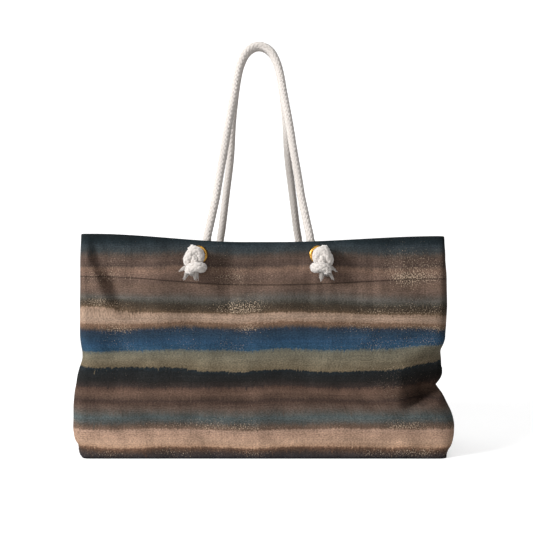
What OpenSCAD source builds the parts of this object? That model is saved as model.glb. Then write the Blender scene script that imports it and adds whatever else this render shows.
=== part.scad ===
// Rope-handled weekender tote: a soft open-topped fabric bag that stands on its base.
// Frame: origin at the centre of the base, +X to the bag's right, -Y to the front panel, +Z up.

/* [Bag] */
// Half the width of the front panel at the rim
half_width = 273; // [240:1:300]
// Half the depth of the open rim
half_rim_depth = 80; // [76:1:90]
// Height of the rim at the middle of a panel
rim_z = 324; // [310:1:330]
// How much higher the rim stands at its corners
rim_rise = 11; // [0:1:20]
// Thickness of the printed outer canvas
canvas_t = 1.6; // [1:0.1:2]
// Thickness of the cotton lining
lining_t = 0.8; // [0.5:0.1:1]
// Depth of the facing that is folded inside the rim
facing_h = 68; // [60:1:80]

/* [Handles] */
// Diameter of the braided rope
rope_d = 12; // [8:1:12]
// Half the distance between the two grommets of a panel
grommet_x = 90; // [88:1:94]
// Height of the grommet centres
grommet_z = 305; // [304:1:306]
// Outer diameter of a grommet flange
grommet_d = 27; // [24:1:30]
// Bore of a grommet
grommet_bore_d = 16.4; // [15:0.1:17]
// Radius of the ball of a stop knot
knot_r = 14; // [12:0.5:14]

/* [Base] */
// Half length of the stiffening board
board_half_l = 262; // [240:1:264]
// Half width of the stiffening board
board_half_w = 84; // [70:1:86]
// Thickness of the stiffening board
board_t = 3; // [2:0.5:4]

/* [Zip pocket] */
// Width of the pocket panel
pocket_w = 230; // [180:10:260]
// Height of the pocket panel
pocket_h = 120; // [100:5:125]
// Width of one half of the zip tape
tape_w = 11; // [9:1:12]
// Length of the pull tab
pull_l = 26; // [18:1:30]

/* [Hidden] */

print_brown = "#7a6050";
print_teal = "#4a6470";
lining_beige = "#cdbfa8";
rope_white = "#e6e2da";
brass = "#c9a24e";
zip_grey = "#6f6a63";

gap = 0.3;
corner_r = 16;
rope_r = rope_d / 2;
rope_sides = 12;
knot_sides = 12;
outer_base_t = 1.6;
facing_d0 = canvas_t + 0.1;
facing_d1 = facing_d0 + 1.2;
seam_d0 = canvas_t + 0.1;
seam_t = 1.1;
lining_d0 = facing_d1 + gap;
lining_d1 = lining_d0 + lining_t;
board_z = outer_base_t + 0.2;
lining_base_z = board_z + board_t + 0.2;
stitch_t = 0.5;
stitch_h = 1;
cut_z = rim_z + 2;
facing_frac = 1 - facing_h / rim_z;

// Heights of the rings of the shell, as fractions of the local height. Every bend of the profiles
// below is one of them, so that layers with different ends still lie side by side
shell_levels = [0, 0.06, 0.14, 0.24, 0.3, 0.36, 0.42, 0.46, 0.5, 0.7, 0.8, 1];
lining_foot = (lining_base_z + lining_t + gap) / rim_z;
lining_levels = concat(
    [lining_foot],
    [for (h = shell_levels) if (h > lining_foot && h < facing_frac) h],
    [facing_frac]);
facing_levels = concat([facing_frac + 0.002], [for (h = shell_levels) if (h > facing_frac + 0.002) h]);

// Half width of the panel, half depth of the bag and place of the side seam at a fraction h
function panel_x(h) = half_width + lookup(h, [
    [0, -3], [0.06, 3], [0.14, 7], [0.3, 0], [0.42, -3], [0.7, 2], [1, 0]]);
function panel_y(h) = half_rim_depth + lookup(h, [[0, 14], [0.14, 17], [0.5, 7], [0.8, 0], [1, 0]]);
function seam_x(h) = half_width + lookup(h, [
    [0, -2], [0.06, 13], [0.14, 25], [0.24, 16], [0.36, -9], [0.46, -17], [0.7, -23], [1, -27]]);
function smooth(t) = t * t * (3 - 2 * t);
function rim_height(x) = rim_z + rim_rise * smooth(max(0, min(1, (abs(x) - 20) / (0.84 * half_width))));

// One half of the horizontal section at height fraction h, inset by d: from the right side seam
// round the corner to the middle of the front panel
gusset_n = 5;
corner_n = 4;
panel_n = 5;
function gusset_part(h, d) = [for (i = [0:gusset_n - 1]) let (t = i / gusset_n)
    [seam_x(h) - d + (panel_x(h) - seam_x(h)) * smooth(t), -t * (panel_y(h) - corner_r)]];
function corner_part(h, d) = [for (i = [0:corner_n]) let (a = 90 * i / corner_n, r = corner_r - d)
    [panel_x(h) - corner_r + r * cos(a), -(panel_y(h) - corner_r) - r * sin(a)]];
function panel_part(h, d) = [for (i = [1:panel_n]) let (t = i / panel_n)
    [(panel_x(h) - corner_r) * (1 - t), -(panel_y(h) - d)]];
function quarter(h, d) = concat(gusset_part(h, d), corner_part(h, d), panel_part(h, d));

function mirrored(points) = [for (i = [len(points) - 2:-1:0]) [-points[i][0], points[i][1]]];
function half_section(h, d) = concat(quarter(h, d), mirrored(quarter(h, d)));

// The same section as points in space
function lift(points, h) = [for (p = points) [p[0], p[1], rim_height(p[0]) * h]];

// A closed sheet between two equal grids of points, rows by columns
function grid_faces(rows, cols, start, flip) = [for (r = [0:rows - 2], c = [0:cols - 2], k = [0, 1])
    let (a = start + r * cols + c, b = a + 1, e = a + cols, f = e + 1,
         tri = k == 0 ? [a, b, f] : [a, f, e])
    flip ? [tri[2], tri[1], tri[0]] : tri];
function edge_faces(line, shift) = [for (i = [0:len(line) - 2], k = [0, 1])
    let (a = line[i], b = line[i + 1])
    k == 0 ? [b, a, a + shift] : [b, a + shift, b + shift]];
function border(rows, cols) = concat(
    [for (c = [0:cols - 1]) c],
    [for (r = [1:rows - 1]) r * cols + cols - 1],
    [for (c = [cols - 2:-1:0]) (rows - 1) * cols + c],
    [for (r = [rows - 2:-1:0]) r * cols]);

module sheet(outer, inner) {
    rows = len(outer);
    cols = len(outer[0]);
    count = rows * cols;
    points = concat([for (row = outer, p = row) p], [for (row = inner, p = row) p]);
    faces = concat(
        grid_faces(rows, cols, 0, false),
        grid_faces(rows, cols, count, true),
        edge_faces(border(rows, cols), count));
    polyhedron(points = points, faces = faces, convexity = 10);
}

// A layer of the bag's front half between insets d0 and d1, over the given levels
module wall(levels, d0, d1) {
    sheet([for (h = levels) lift(half_section(h, d0), h)],
          [for (h = levels) lift(half_section(h, d1), h)]);
}

module front() { children(); }
module back() { rotate(180) children(); }

module grommet_holes(r) {
    for (side = [-1, 1])
        translate([side * grommet_x, -half_rim_depth - 5, grommet_z])
            rotate([-90, 0, 0]) cylinder(r = r, h = 14, $fn = 48);
}

module outer_panel() {
    difference() {
        wall(shell_levels, 0, canvas_t);
        grommet_holes(grommet_bore_d / 2 + 1.1);
    }
}

module facing_panel() {
    difference() {
        wall(facing_levels, facing_d0, facing_d1);
        grommet_holes(grommet_bore_d / 2 + 1.1);
    }
}

module lining_panel() { wall(lining_levels, lining_d0, lining_d1); }

// The floor of the bag is a rounded rectangle; inset keeps it inside the walls
module floor_plate(inset, z, t) {
    l = panel_x(0) - inset;
    w = panel_y(0) - inset;
    r = corner_r - min(inset, corner_r - 2);
    translate([0, 0, z]) linear_extrude(t)
        hull() for (sx = [-1, 1], sy = [-1, 1])
            translate([sx * (l - r), sy * (w - r)]) circle(r = r, $fn = 32);
}

module base_board() {
    translate([-board_half_l, -board_half_w, board_z]) cube([2 * board_half_l, 2 * board_half_w, board_t]);
}

// Seam allowance of the side seam, pressed open between canvas and lining
module side_seam() {
    levels = concat([for (h = shell_levels) if (h > 0.02 && h < facing_frac) h], [facing_frac - 0.002]);
    function strip(h, d) = let (q = quarter(h, d)) [[q[1][0], -q[1][1]], q[0], q[1]];
    sheet([for (h = levels) lift(strip(h, seam_d0), h)],
          [for (h = levels) lift(strip(h, seam_d0 + seam_t), h)]);
}

// A row of thread that holds the facing, on the outside of the wall
module hem_stitching() {
    wall([facing_frac + 0.02, facing_frac + 0.02 + stitch_h / rim_z], -stitch_t - 0.05, -0.05);
}

// Eyelet: a rolled flange outside and a barrel through both layers, with a true round bore
module grommet() {
    bore = grommet_bore_d / 2;
    flange = grommet_d / 2;
    translate([grommet_x, -half_rim_depth, grommet_z]) rotate([90, 0, 0]) rotate_extrude($fn = 64)
        polygon([[bore, -4.3], [bore, 1.1], [bore + 0.8, 1.8], [bore + 2.4, 2], [flange - 0.9, 1.5],
                 [flange, 0.7], [flange, 0.1], [bore + 1, 0.1], [bore + 1, -4.3]]);
}

module washer() {
    bore = grommet_bore_d / 2 + 1.1;
    translate([grommet_x, -half_rim_depth + facing_d1 + 0.1, grommet_z]) rotate([-90, 0, 0]) difference() {
        cylinder(r = grommet_d / 2 - 0.5, h = 1, $fn = 64);
        translate([0, 0, -1]) cylinder(r = bore, h = 3, $fn = 64);
    }
}

// Stop knot at the end of the rope: a ball, a loop that turns towards the middle, and two frayed tails
module cone_between(a, b, r1, r2) {
    v = b - a;
    l = norm(v);
    translate(a) rotate([0, acos(v[2] / l), atan2(v[1], v[0])])
        cylinder(r1 = r1, r2 = r2, h = l, $fn = knot_sides);
}

module knot() {
    knot_c = [grommet_x + 6, -half_rim_depth - 2.5 - knot_r, grommet_z - 4];
    translate(knot_c) sphere(r = knot_r, $fn = knot_sides);
    cone_between(knot_c + [-6, -2, -10], knot_c + [-16, 0, -14], rope_r + 1, rope_r);
    translate(knot_c + [-16, 0, -14]) sphere(r = rope_r, $fn = knot_sides);
    cone_between(knot_c + [3, 0, -8], knot_c + [13, 3, -32], rope_r, 1.5);
    cone_between(knot_c + [-1, 0, -8], knot_c + [-3, 2, -33], rope_r, 1.5);
}

// Routes of the rope's right half, from the stop knot out through the grommet, up inside the
// panel to the rim, and on to the top of the arch
leg_route_front = [
    [90, -93, 305], [90, -84, 305], [90, -77, 305], [89.5, -72, 306.5], [88.5, -68.5, 310],
    [86.5, -67, 314.5], [83, -67, 320], [79, -67, cut_z]
];
leg_route_back = [
    [90, -93, 305], [90, -84, 305], [90, -77, 305], [89, -72, 306], [86, -68.5, 309],
    [81, -67, 313.5], [74, -67, 319], [67, -67, cut_z]
];
arch_route_front = [
    [79, -67, cut_z], [77.5, -65.5, 336], [74.5, -62, 350], [70, -57, 372], [65.5, -51.5, 395], [61, -44.5, 425],
    [57, -38.5, 450], [53, -33, 475], [49.5, -27, 500], [46, -22, 522], [42, -16.5, 545], [38.5, -12, 565],
    [35, -8.5, 587], [31.5, -7, 603], [27, -6.5, 616], [20.5, -6.5, 628], [11, -6.5, 636], [0, -6.5, 639]
];
arch_route_back = [
    [67, -67, cut_z], [65, -65.5, 336], [62.5, -62, 350], [59.5, -57, 372], [56.5, -51.5, 395], [52.5, -44.5, 425],
    [49, -38.5, 450], [46.5, -33, 475], [45, -27, 500], [43.5, -22, 522], [41, -16.5, 545], [38.5, -12, 565],
    [35, -8.5, 587], [31.5, -7, 603], [27, -6.5, 616], [20.5, -6.5, 628], [11, -6.5, 636], [0, -6.5, 639]
];

function unit(v) = v / norm(v);
function flipped(route) = [for (i = [len(route) - 2:-1:0]) [-route[i][0], route[i][1], route[i][2]]];
function tangent(route, i) =
    let (last = len(route) - 1) unit(route[min(last, i + 1)] - route[max(0, i - 1)]);

// Rings of the tube: ref is a direction that the rope never runs along; both ends are cut level or square
function ring(centre, t, ref) =
    let (u = unit(cross(t, ref)), v = cross(t, u))
    [for (k = [0:rope_sides - 1])
        let (a = 360 * (k + 0.5) / rope_sides) centre + rope_r * (cos(a) * u + sin(a) * v)];
function tube_faces(rings) = concat(
    [[for (k = [0:rope_sides - 1]) rope_sides - 1 - k]],
    [for (i = [0:rings - 2], k = [0:rope_sides - 1], half = [0, 1])
        let (a = i * rope_sides + k, b = i * rope_sides + (k + 1) % rope_sides)
        half == 0 ? [a, b, b + rope_sides] : [a, b + rope_sides, a + rope_sides]],
    [[for (k = [0:rope_sides - 1]) (rings - 1) * rope_sides + k]]);

module rope_tube(route, first, last, ref) {
    n = len(route) - 1;
    rings = [for (i = [0:n]) ring(route[i], i == 0 ? first : i == n ? last : tangent(route, i), ref)];
    polyhedron(points = [for (r = rings, p = r) p], faces = tube_faces(n + 1), convexity = 10);
}

module rope_leg(route) { rope_tube(route, [0, 1, 0], [0, 0, 1], [1, 0, 0]); }
module rope_arch(route) { rope_tube(concat(route, flipped(route)), [0, 0, 1], [0, 0, -1], [0, 1, 0]); }

// The zip pocket lies on the back lining, which leans by pocket_tilt; local y is 0 on the lining
pocket_tilt = 4.2;
pocket_top_z = 236;
pocket_wall_y = 77.6;
zip_len = pocket_w - 30;
chain_half = 2.8;
chain_slot = 0.5;
tape_t = 0.6;
tape_y = -2.2;
slider_l = 11;
slider_half_w = 4.6;
slider_x = -zip_len / 2 + 14;
bail_y = -7;
bail_r = 0.8;
pull_bore_r = 1.2;
pull_t = 1.4;
pull_half_w = 3.5;

module on_pocket() { translate([0, pocket_wall_y, pocket_top_z]) rotate([pocket_tilt, 0, 0]) children(); }

// A box given by its low corner and its high corner
module slab(low, high) { translate(low) cube(high - low); }

module pocket_panel() {
    on_pocket() slab([-pocket_w / 2, -1.5, -pocket_h - tape_w], [pocket_w / 2, -0.5, -tape_w]);
}

module zip_tape(side) {
    on_pocket() translate([-pocket_w / 2, tape_y, side > 0 ? chain_half - 0.8 : -chain_half + 0.8 - tape_w])
        cube([pocket_w, tape_t, tape_w]);
}

// One row of the coil, sitting on the front of its tape
module zip_teeth(side) {
    low = side > 0 ? chain_slot : -chain_half;
    on_pocket() slab([-zip_len / 2, tape_y - 1.3, low], [zip_len / 2, tape_y - 0.05, low + chain_half - chain_slot]);
}

module zip_stops() {
    on_pocket() for (sx = [-1, 1])
        translate([sx * (zip_len / 2 + 2), tape_y - 0.75, 0]) cube([3, 1.4, 2 * chain_half + 1], center = true);
}

// Slider: front and rear plates joined by a thin post that runs between the two rows, with a bail
// for the pull
module zip_slider() {
    on_pocket() translate([slider_x, 0, 0]) {
        slab([-slider_l / 2, tape_y - 2.5, -slider_half_w], [slider_l / 2, tape_y - 1.6, slider_half_w]);
        slab([-slider_l / 2, tape_y + tape_t + 0.3, -slider_half_w], [slider_l / 2, tape_y + tape_t + 1, slider_half_w]);
        slab([-3, tape_y - 2, -0.25], [3, tape_y + tape_t + 0.5, 0.25]);
        for (sx = [-1, 1]) translate([sx * 4.6 - 0.5, bail_y - 1, -1]) cube([1, tape_y - 2 - bail_y + 1, 2]);
        translate([-4.8, bail_y, 0]) rotate([0, 90, 0]) cylinder(r = bail_r, h = 9.6, $fn = 24);
    }
}

// Pull: hangs straight down from the bail, so it is not tilted with the pocket
module zip_pull() {
    translate([slider_x, pocket_wall_y + bail_y * cos(pocket_tilt), pocket_top_z + bail_y * sin(pocket_tilt)])
        difference() {
            union() {
                rotate([0, 90, 0]) cylinder(r = 2.1, h = 2 * pull_half_w, center = true, $fn = 32);
                translate([-pull_half_w, -pull_t / 2, -pull_l]) cube([2 * pull_half_w, pull_t, pull_l - 1.6]);
            }
            rotate([0, 90, 0]) cylinder(r = pull_bore_r, h = 3 * pull_half_w, center = true, $fn = 32);
        }
}

// Colour and place of each piece; left pieces are mirror images of right ones
module left() { mirror([1, 0, 0]) children(); }
module canvas() { color(print_brown) children(); }
module cotton() { color(lining_beige) children(); }
module rope() { color(rope_white) children(); }
module metal() { color(brass) children(); }

canvas() front() outer_panel();  // outer_front
canvas() back() outer_panel();  // outer_back
color(print_teal) floor_plate(canvas_t + 0.1, 0, outer_base_t);  // outer_base
color(print_teal) front() facing_panel();  // facing_front
color(print_teal) back() facing_panel();  // facing_back
cotton() front() lining_panel();  // lining_front
cotton() back() lining_panel();  // lining_back
cotton() floor_plate(lining_d0, lining_base_z, lining_t);  // lining_base
color("#3d3a38") base_board();
canvas() back() side_seam();  // side_seam_left
canvas() side_seam();  // side_seam_right
color("#4b3b33") front() hem_stitching();  // hem_stitching_front
color("#4b3b33") back() hem_stitching();  // hem_stitching_back
metal() left() grommet();  // grommet_front_left
metal() grommet();  // grommet_front_right
metal() back() grommet();  // grommet_back_left
metal() back() left() grommet();  // grommet_back_right
metal() left() washer();  // washer_front_left
metal() washer();  // washer_front_right
metal() back() washer();  // washer_back_left
metal() back() left() washer();  // washer_back_right
rope() left() knot();  // knot_front_left
rope() knot();  // knot_front_right
rope() back() knot();  // knot_back_left
rope() back() left() knot();  // knot_back_right
rope() left() rope_leg(leg_route_front);  // rope_leg_front_left
rope() rope_leg(leg_route_front);  // rope_leg_front_right
rope() back() rope_leg(leg_route_back);  // rope_leg_back_left
rope() back() left() rope_leg(leg_route_back);  // rope_leg_back_right
rope() front() rope_arch(arch_route_front);  // rope_handle_front
rope() back() rope_arch(arch_route_back);  // rope_handle_back
cotton() pocket_panel();
color(zip_grey) zip_tape(1);  // zip_tape_upper
color(zip_grey) zip_tape(-1);  // zip_tape_lower
metal() zip_teeth(1);  // zip_teeth_upper
metal() zip_teeth(-1);  // zip_teeth_lower
metal() zip_stops();
metal() zip_slider();
metal() zip_pull();
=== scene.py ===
# %% [markdown]
# # A rope-handled weekender, piece by piece
# The bag is soft striped canvas with a lining, standing open on a stiffened base.  Two braided
# ropes pass through brass grommets and end in stop knots.  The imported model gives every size;
# this lesson gives each piece its real cloth, braid and metal.

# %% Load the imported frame
import math
import random

import bmesh
import bpy
import numpy as np
from mathutils import Matrix, Vector, noise


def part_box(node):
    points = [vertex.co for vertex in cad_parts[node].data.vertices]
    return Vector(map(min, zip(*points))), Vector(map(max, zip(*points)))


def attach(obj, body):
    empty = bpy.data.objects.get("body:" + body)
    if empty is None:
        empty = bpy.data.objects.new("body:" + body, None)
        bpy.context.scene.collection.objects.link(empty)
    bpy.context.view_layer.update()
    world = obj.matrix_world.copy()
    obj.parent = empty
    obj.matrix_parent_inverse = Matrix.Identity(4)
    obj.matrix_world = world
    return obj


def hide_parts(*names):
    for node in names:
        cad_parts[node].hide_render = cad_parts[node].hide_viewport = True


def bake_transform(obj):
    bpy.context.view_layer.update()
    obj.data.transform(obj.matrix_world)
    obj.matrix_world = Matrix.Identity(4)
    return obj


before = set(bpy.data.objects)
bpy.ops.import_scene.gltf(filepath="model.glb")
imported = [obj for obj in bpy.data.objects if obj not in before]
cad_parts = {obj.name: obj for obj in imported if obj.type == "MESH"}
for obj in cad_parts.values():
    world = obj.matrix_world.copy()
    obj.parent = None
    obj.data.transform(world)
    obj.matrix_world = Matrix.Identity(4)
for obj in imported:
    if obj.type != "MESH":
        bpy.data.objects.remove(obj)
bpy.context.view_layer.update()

MM = 0.001
scene = bpy.context.scene
scene.view_settings.view_transform = "Standard"

# %% [markdown]
# ## The camera
# The bag is seen square on, from a little below the height of its rim, so that neither the inside
# nor the base shows.  A level camera keeps the upright edges parallel.

# %% Camera
PANEL_DISTANCE = 1.27
CAMERA_HEIGHT = 0.287
CAMERA_SIDE = 0.012
front_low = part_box("outer_front")[0]
camera_data = bpy.data.cameras.new("camera")
camera_data.lens = 57.7
camera_data.sensor_width = 36.0
camera = bpy.data.objects.new("camera", camera_data)
scene.collection.objects.link(camera)
camera.location = (CAMERA_SIDE, front_low[1] - PANEL_DISTANCE, CAMERA_HEIGHT)
camera.rotation_euler = (math.radians(90), 0, 0)
scene.camera = camera
print("camera at", [round(c, 3) for c in camera.location])

# %% [markdown]
# ## Measures that the pieces share
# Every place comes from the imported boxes: the rim from the front panel, the grommets from their
# own nodes, the handles from the top of their arches.

# %% Shared measures
RIM_Z = 0.324
RIM_RISE_LEFT = 0.0125
RIM_RISE_RIGHT = 0.009
RIM_HALF_DEPTH = 0.080
CANVAS_T = 1.6 * MM
FACING_DEPTH = 1.9 * MM
FACING_H = 0.068
HEM_BELOW_RIM = 0.063
LINING_DEPTH = 3.9 * MM
LINING_T = 0.8 * MM
ROPE_D = 13.2 * MM
ROPE_R = ROPE_D / 2
grommet_low, grommet_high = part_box("grommet_front_right")
GROMMET_X = (grommet_low[0] + grommet_high[0]) / 2
GROMMET_Z = (grommet_low[2] + grommet_high[2]) / 2
GROMMET_R = (grommet_high[0] - grommet_low[0]) / 2
BORE_R = 8.2 * MM
print("grommet centre", round(GROMMET_X, 4), round(GROMMET_Z, 4), "radius", round(GROMMET_R, 4))


# %% [markdown]
# ## Helpers for finished pieces
# A piece is made in a bmesh, turned into a mesh object at the origin and given its material; it is
# then attached to its body, and the CAD nodes that it stands for are hidden.

# %% Piece helpers
def finish_mesh(name, bm, material, smooth=True):
    mesh = bpy.data.meshes.new(name)
    bm.to_mesh(mesh)
    bm.free()
    mesh.materials.append(material)
    mesh.polygons.foreach_set("use_smooth", [smooth] * len(mesh.polygons))
    piece = bpy.data.objects.new(name, mesh)
    scene.collection.objects.link(piece)
    return piece


def place(piece, body, slot, *nodes):
    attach(piece, body)
    if nodes:
        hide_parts(*nodes)
    print(piece.name, len(piece.data.polygons), "faces")
    return piece


def add_part(bm, part):
    """Join a finished part's mesh to bm."""
    mesh = bpy.data.meshes.new("part")
    part.to_mesh(mesh)
    part.free()
    bm.from_mesh(mesh)
    bpy.data.meshes.remove(mesh)


def block(bm, low, high, edge, matrix=Matrix.Identity(4)):
    """A box between two corners with softened edges."""
    part = bmesh.new()
    bmesh.ops.create_cube(part, size=1)
    size = Vector(high) - Vector(low)
    bmesh.ops.scale(part, vec=size, verts=part.verts)
    bmesh.ops.translate(part, vec=(Vector(high) + Vector(low)) / 2, verts=part.verts)
    bmesh.ops.bevel(part, geom=part.edges[:], offset=edge, segments=2, profile=0.5, affect="EDGES",
                    material=-1)
    bmesh.ops.transform(part, matrix=matrix, verts=part.verts)
    add_part(bm, part)


def lathe(bm, profile, centre, outward, steps=64):
    """Turn a closed profile of (radius, distance outward) pairs about a Y axis through centre."""
    part = bmesh.new()
    ring = [part.verts.new((centre[0] + r, centre[1] + outward * d, centre[2])) for r, d in profile]
    edges = [part.edges.new((ring[i - 1], ring[i])) for i in range(len(ring))]
    bmesh.ops.spin(part, geom=ring + edges, axis=(0, 1, 0), cent=centre, steps=steps, angle=2 * math.pi)
    bmesh.ops.remove_doubles(part, verts=part.verts, dist=1e-6)
    bmesh.ops.recalc_face_normals(part, faces=part.faces[:])
    add_part(bm, part)


def smooth_step(t):
    t = np.clip(t, 0, 1)
    return t * t * (3 - 2 * t)


def bump(x, centre, half):
    """1 at centre, falling smoothly to 0 at centre plus or minus half."""
    return smooth_step(1 - np.abs(x - centre) / half)


# %% [markdown]
# ## The printed canvas
# The outer cloth is a plain weave printed with painted, worn stripes.  A colour ramp over the
# height of the cloth gives the stripes; noise moves their edges and breaks them into brush marks
# and specks.  Two tables hold the plain colours and a third says how far each height is
# darkened, so that dark bands can be changed without touching the colours.  The pattern reads the
# cloth's own UV map in metres, so it follows every fold.

# %% Stripe colours, from the base to the rim
# Each row: height in millimetres, and the plain red, green and blue (0 to 255) of the print there
STRIPES = [
    (0, (32, 31, 37)), (4, (58, 54, 56)), (9, (68, 58, 54)), (14, (84, 64, 52)), (17, (110, 82, 66)),
    (19, (164, 132, 108)), (26, (171, 141, 120)), (36, (162, 132, 112)), (44, (155, 128, 110)),
    (46, (108, 86, 72)), (52, (90, 78, 70)), (57, (80, 82, 80)), (63, (78, 86, 86)), (70, (86, 82, 77)),
    (77, (92, 77, 68)), (84, (80, 63, 54)), (88, (66, 52, 46)), (92, (84, 66, 56)), (100, (102, 80, 67)),
    (106, (88, 68, 58)), (110, (54, 46, 42)), (118, (40, 38, 37)), (127, (36, 38, 40)), (131, (32, 42, 48)),
    (132, (100, 88, 70)), (140, (108, 99, 81)), (150, (110, 103, 88)), (158, (102, 99, 86)),
    (162, (84, 92, 92)), (163, (43, 75, 98)),
]
RIM_STRIPES = [
    (163, (44, 74, 97)), (173, (43, 71, 95)), (184, (42, 62, 81)), (192, (44, 56, 70)), (195, (78, 68, 62)),
    (198, (104, 82, 66)), (202, (108, 84, 68)), (203, (152, 126, 106)), (209, (166, 141, 123)),
    (216, (158, 132, 112)), (217, (100, 81, 64)), (222, (74, 62, 50)), (228, (66, 58, 48)),
    (233, (76, 72, 65)), (239, (94, 90, 84)), (244, (94, 84, 77)), (250, (102, 84, 74)),
    (260, (106, 86, 74)), (266, (98, 79, 69)), (275, (106, 85, 74)), (283, (118, 95, 80)),
    (287, (98, 80, 69)), (289, (76, 62, 56)), (299, (84, 68, 60)), (305, (76, 66, 60)), (311, (56, 60, 61)),
    (319, (46, 54, 58)), (325, (28, 38, 42)), (336, (22, 27, 30)),
]
# Each row: height in millimetres, and the share of the plain colour that is kept there
PRINT_SHADE = [
    (0, 0.85), (9, 0.85), (14, 0.97), (44, 0.97), (50, 0.92), (110, 0.9), (114, 0.78), (131, 0.78), (132, 0.95),
    (160, 0.93), (163, 0.88), (194, 0.88), (196, 0.95), (202, 0.95), (203, 0.86), (216, 0.85), (222, 0.84),
    (234, 0.86), (240, 0.9), (283, 0.92), (289, 0.95), (336, 0.95),
]
STRIPES_TOP = 163
PRINT_TOP = 345


def shaded(stops):
    """Stripe stops with each colour darkened as far as PRINT_SHADE says at its height."""
    heights, shares = zip(*PRINT_SHADE)
    return [(up, tuple(round(c * float(np.interp(up, heights, shares))) for c in colour))
            for up, colour in stops]


def linear(rgb):
    """Screen red, green and blue (0 to 255) as the linear light that a shader takes."""
    out = []
    for c in rgb:
        c = c / 255
        out.append(c / 12.92 if c <= 0.04045 else ((c + 0.055) / 1.055) ** 2.4)
    return (*out, 1.0)


def new_material(name, roughness, colour=(128, 128, 128)):
    material = bpy.data.materials.new(name)
    material.use_nodes = True
    material.diffuse_color = linear(colour)
    tree = material.node_tree
    shader = tree.nodes["Principled BSDF"]
    shader.label = "cloth, rope or metal surface"
    shader.location = (900, 0)
    tree.nodes["Material Output"].location = (1200, 0)
    shader.inputs["Roughness"].default_value = roughness
    return material, tree, shader


def fill_ramp(ramp, stops, low, high):
    """Put (place, colour) stops on a ramp whose 0 is low and whose 1 is high."""
    elements = ramp.color_ramp.elements
    while len(elements) > 1:
        elements.remove(elements[-1])
    for index, (place_mm, colour) in enumerate(stops):
        position = (place_mm - low) / (high - low)
        element = elements[0] if index == 0 else elements.new(position)
        element.position = position
        element.color = linear(colour) if len(colour) == 3 else colour


def frame_nodes(tree, label, members):
    box = tree.nodes.new("NodeFrame")
    box.label = label
    for member in members:
        member.parent = box


# %% Canvas material
canvas, tree, shader = new_material("printed_canvas", 0.86, (100, 80, 68))
new, link = tree.nodes.new, tree.links.new
shader.inputs["Specular IOR Level"].default_value = 0.12

cloth_uv = new("ShaderNodeUVMap")
cloth_uv.label = "metres along and up the cloth"
cloth_uv.uv_map = "cloth"
cloth_uv.location = (-2600, 0)

split = new("ShaderNodeSeparateXYZ")
split.label = "along, up"
split.location = (-2400, 0)
link(cloth_uv.outputs["UV"], split.inputs["Vector"])

# Slow drift of the stripe edges
drift = new("ShaderNodeTexNoise")
drift.label = "slow drift of a painted edge"
drift.location = (-2200, 500)
drift.noise_dimensions = "2D"
drift.inputs["Scale"].default_value = 7
drift.inputs["Detail"].default_value = 4
drift.inputs["Roughness"].default_value = 0.5
link(cloth_uv.outputs["UV"], drift.inputs["Vector"])

drift_size = new("ShaderNodeMath")
drift_size.label = "drift, a few millimetres"
drift_size.operation = "MULTIPLY_ADD"
drift_size.location = (-2000, 500)
drift_size.inputs[1].default_value = 0.014
drift_size.inputs[2].default_value = -0.007
link(drift.outputs["Fac"], drift_size.inputs[0])

# Ragged brush ends, where the bristles left the cloth
brush_map = new("ShaderNodeMapping")
brush_map.label = "bristle marks"
brush_map.location = (-2400, 250)
brush_map.inputs["Scale"].default_value = (330, 120, 1)
link(cloth_uv.outputs["UV"], brush_map.inputs["Vector"])

brush = new("ShaderNodeTexNoise")
brush.label = "ragged brush ends"
brush.location = (-2200, 250)
brush.noise_dimensions = "2D"
brush.inputs["Scale"].default_value = 1
brush.inputs["Detail"].default_value = 2
link(brush_map.outputs["Vector"], brush.inputs["Vector"])

brush_size = new("ShaderNodeMath")
brush_size.label = "ragged edge, a millimetre or two"
brush_size.operation = "MULTIPLY_ADD"
brush_size.location = (-2000, 250)
brush_size.inputs[1].default_value = 0.005
brush_size.inputs[2].default_value = -0.0016
link(brush.outputs["Fac"], brush_size.inputs[0])

# Dragged paint: in places the brush pulled a colour down into the stripe below
drag_map = new("ShaderNodeMapping")
drag_map.label = "narrow upright drags"
drag_map.location = (-2400, -150)
drag_map.inputs["Scale"].default_value = (260, 70, 1)
link(cloth_uv.outputs["UV"], drag_map.inputs["Vector"])

drag = new("ShaderNodeTexNoise")
drag.label = "dragged paint"
drag.location = (-2200, -150)
drag.noise_dimensions = "2D"
drag.inputs["Scale"].default_value = 1
drag.inputs["Detail"].default_value = 4
drag.inputs["Roughness"].default_value = 0.7
link(drag_map.outputs["Vector"], drag.inputs["Vector"])

drag_size = new("ShaderNodeMapRange")
drag_size.label = "drag, up to 8 mm in few places"
drag_size.location = (-2000, -150)
drag_size.inputs["From Min"].default_value = 0.6
drag_size.inputs["From Max"].default_value = 0.80
drag_size.inputs["To Max"].default_value = 0.008
link(drag.outputs["Fac"], drag_size.inputs["Value"])

dragged = new("ShaderNodeMath")
dragged.label = "ragged edge plus drag"
dragged.operation = "ADD"
dragged.location = (-1800, 0)
link(brush_size.outputs["Value"], dragged.inputs[0])
link(drag_size.outputs["Result"], dragged.inputs[1])

moved = new("ShaderNodeMath")
moved.label = "height plus drift"
moved.operation = "ADD"
moved.location = (-1800, 300)
link(split.outputs["Y"], moved.inputs[0])
link(drift_size.outputs["Value"], moved.inputs[1])

height = new("ShaderNodeMath")
height.label = "height plus ragged edge"
height.operation = "ADD"
height.location = (-1600, 300)
link(moved.outputs["Value"], height.inputs[0])
link(dragged.outputs["Value"], height.inputs[1])

lower_place = new("ShaderNodeMapRange")
lower_place.label = "height over the lower stripes"
lower_place.location = (-1400, 450)
lower_place.inputs["From Min"].default_value = 0
lower_place.inputs["From Max"].default_value = STRIPES_TOP * MM
link(height.outputs["Value"], lower_place.inputs["Value"])

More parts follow.
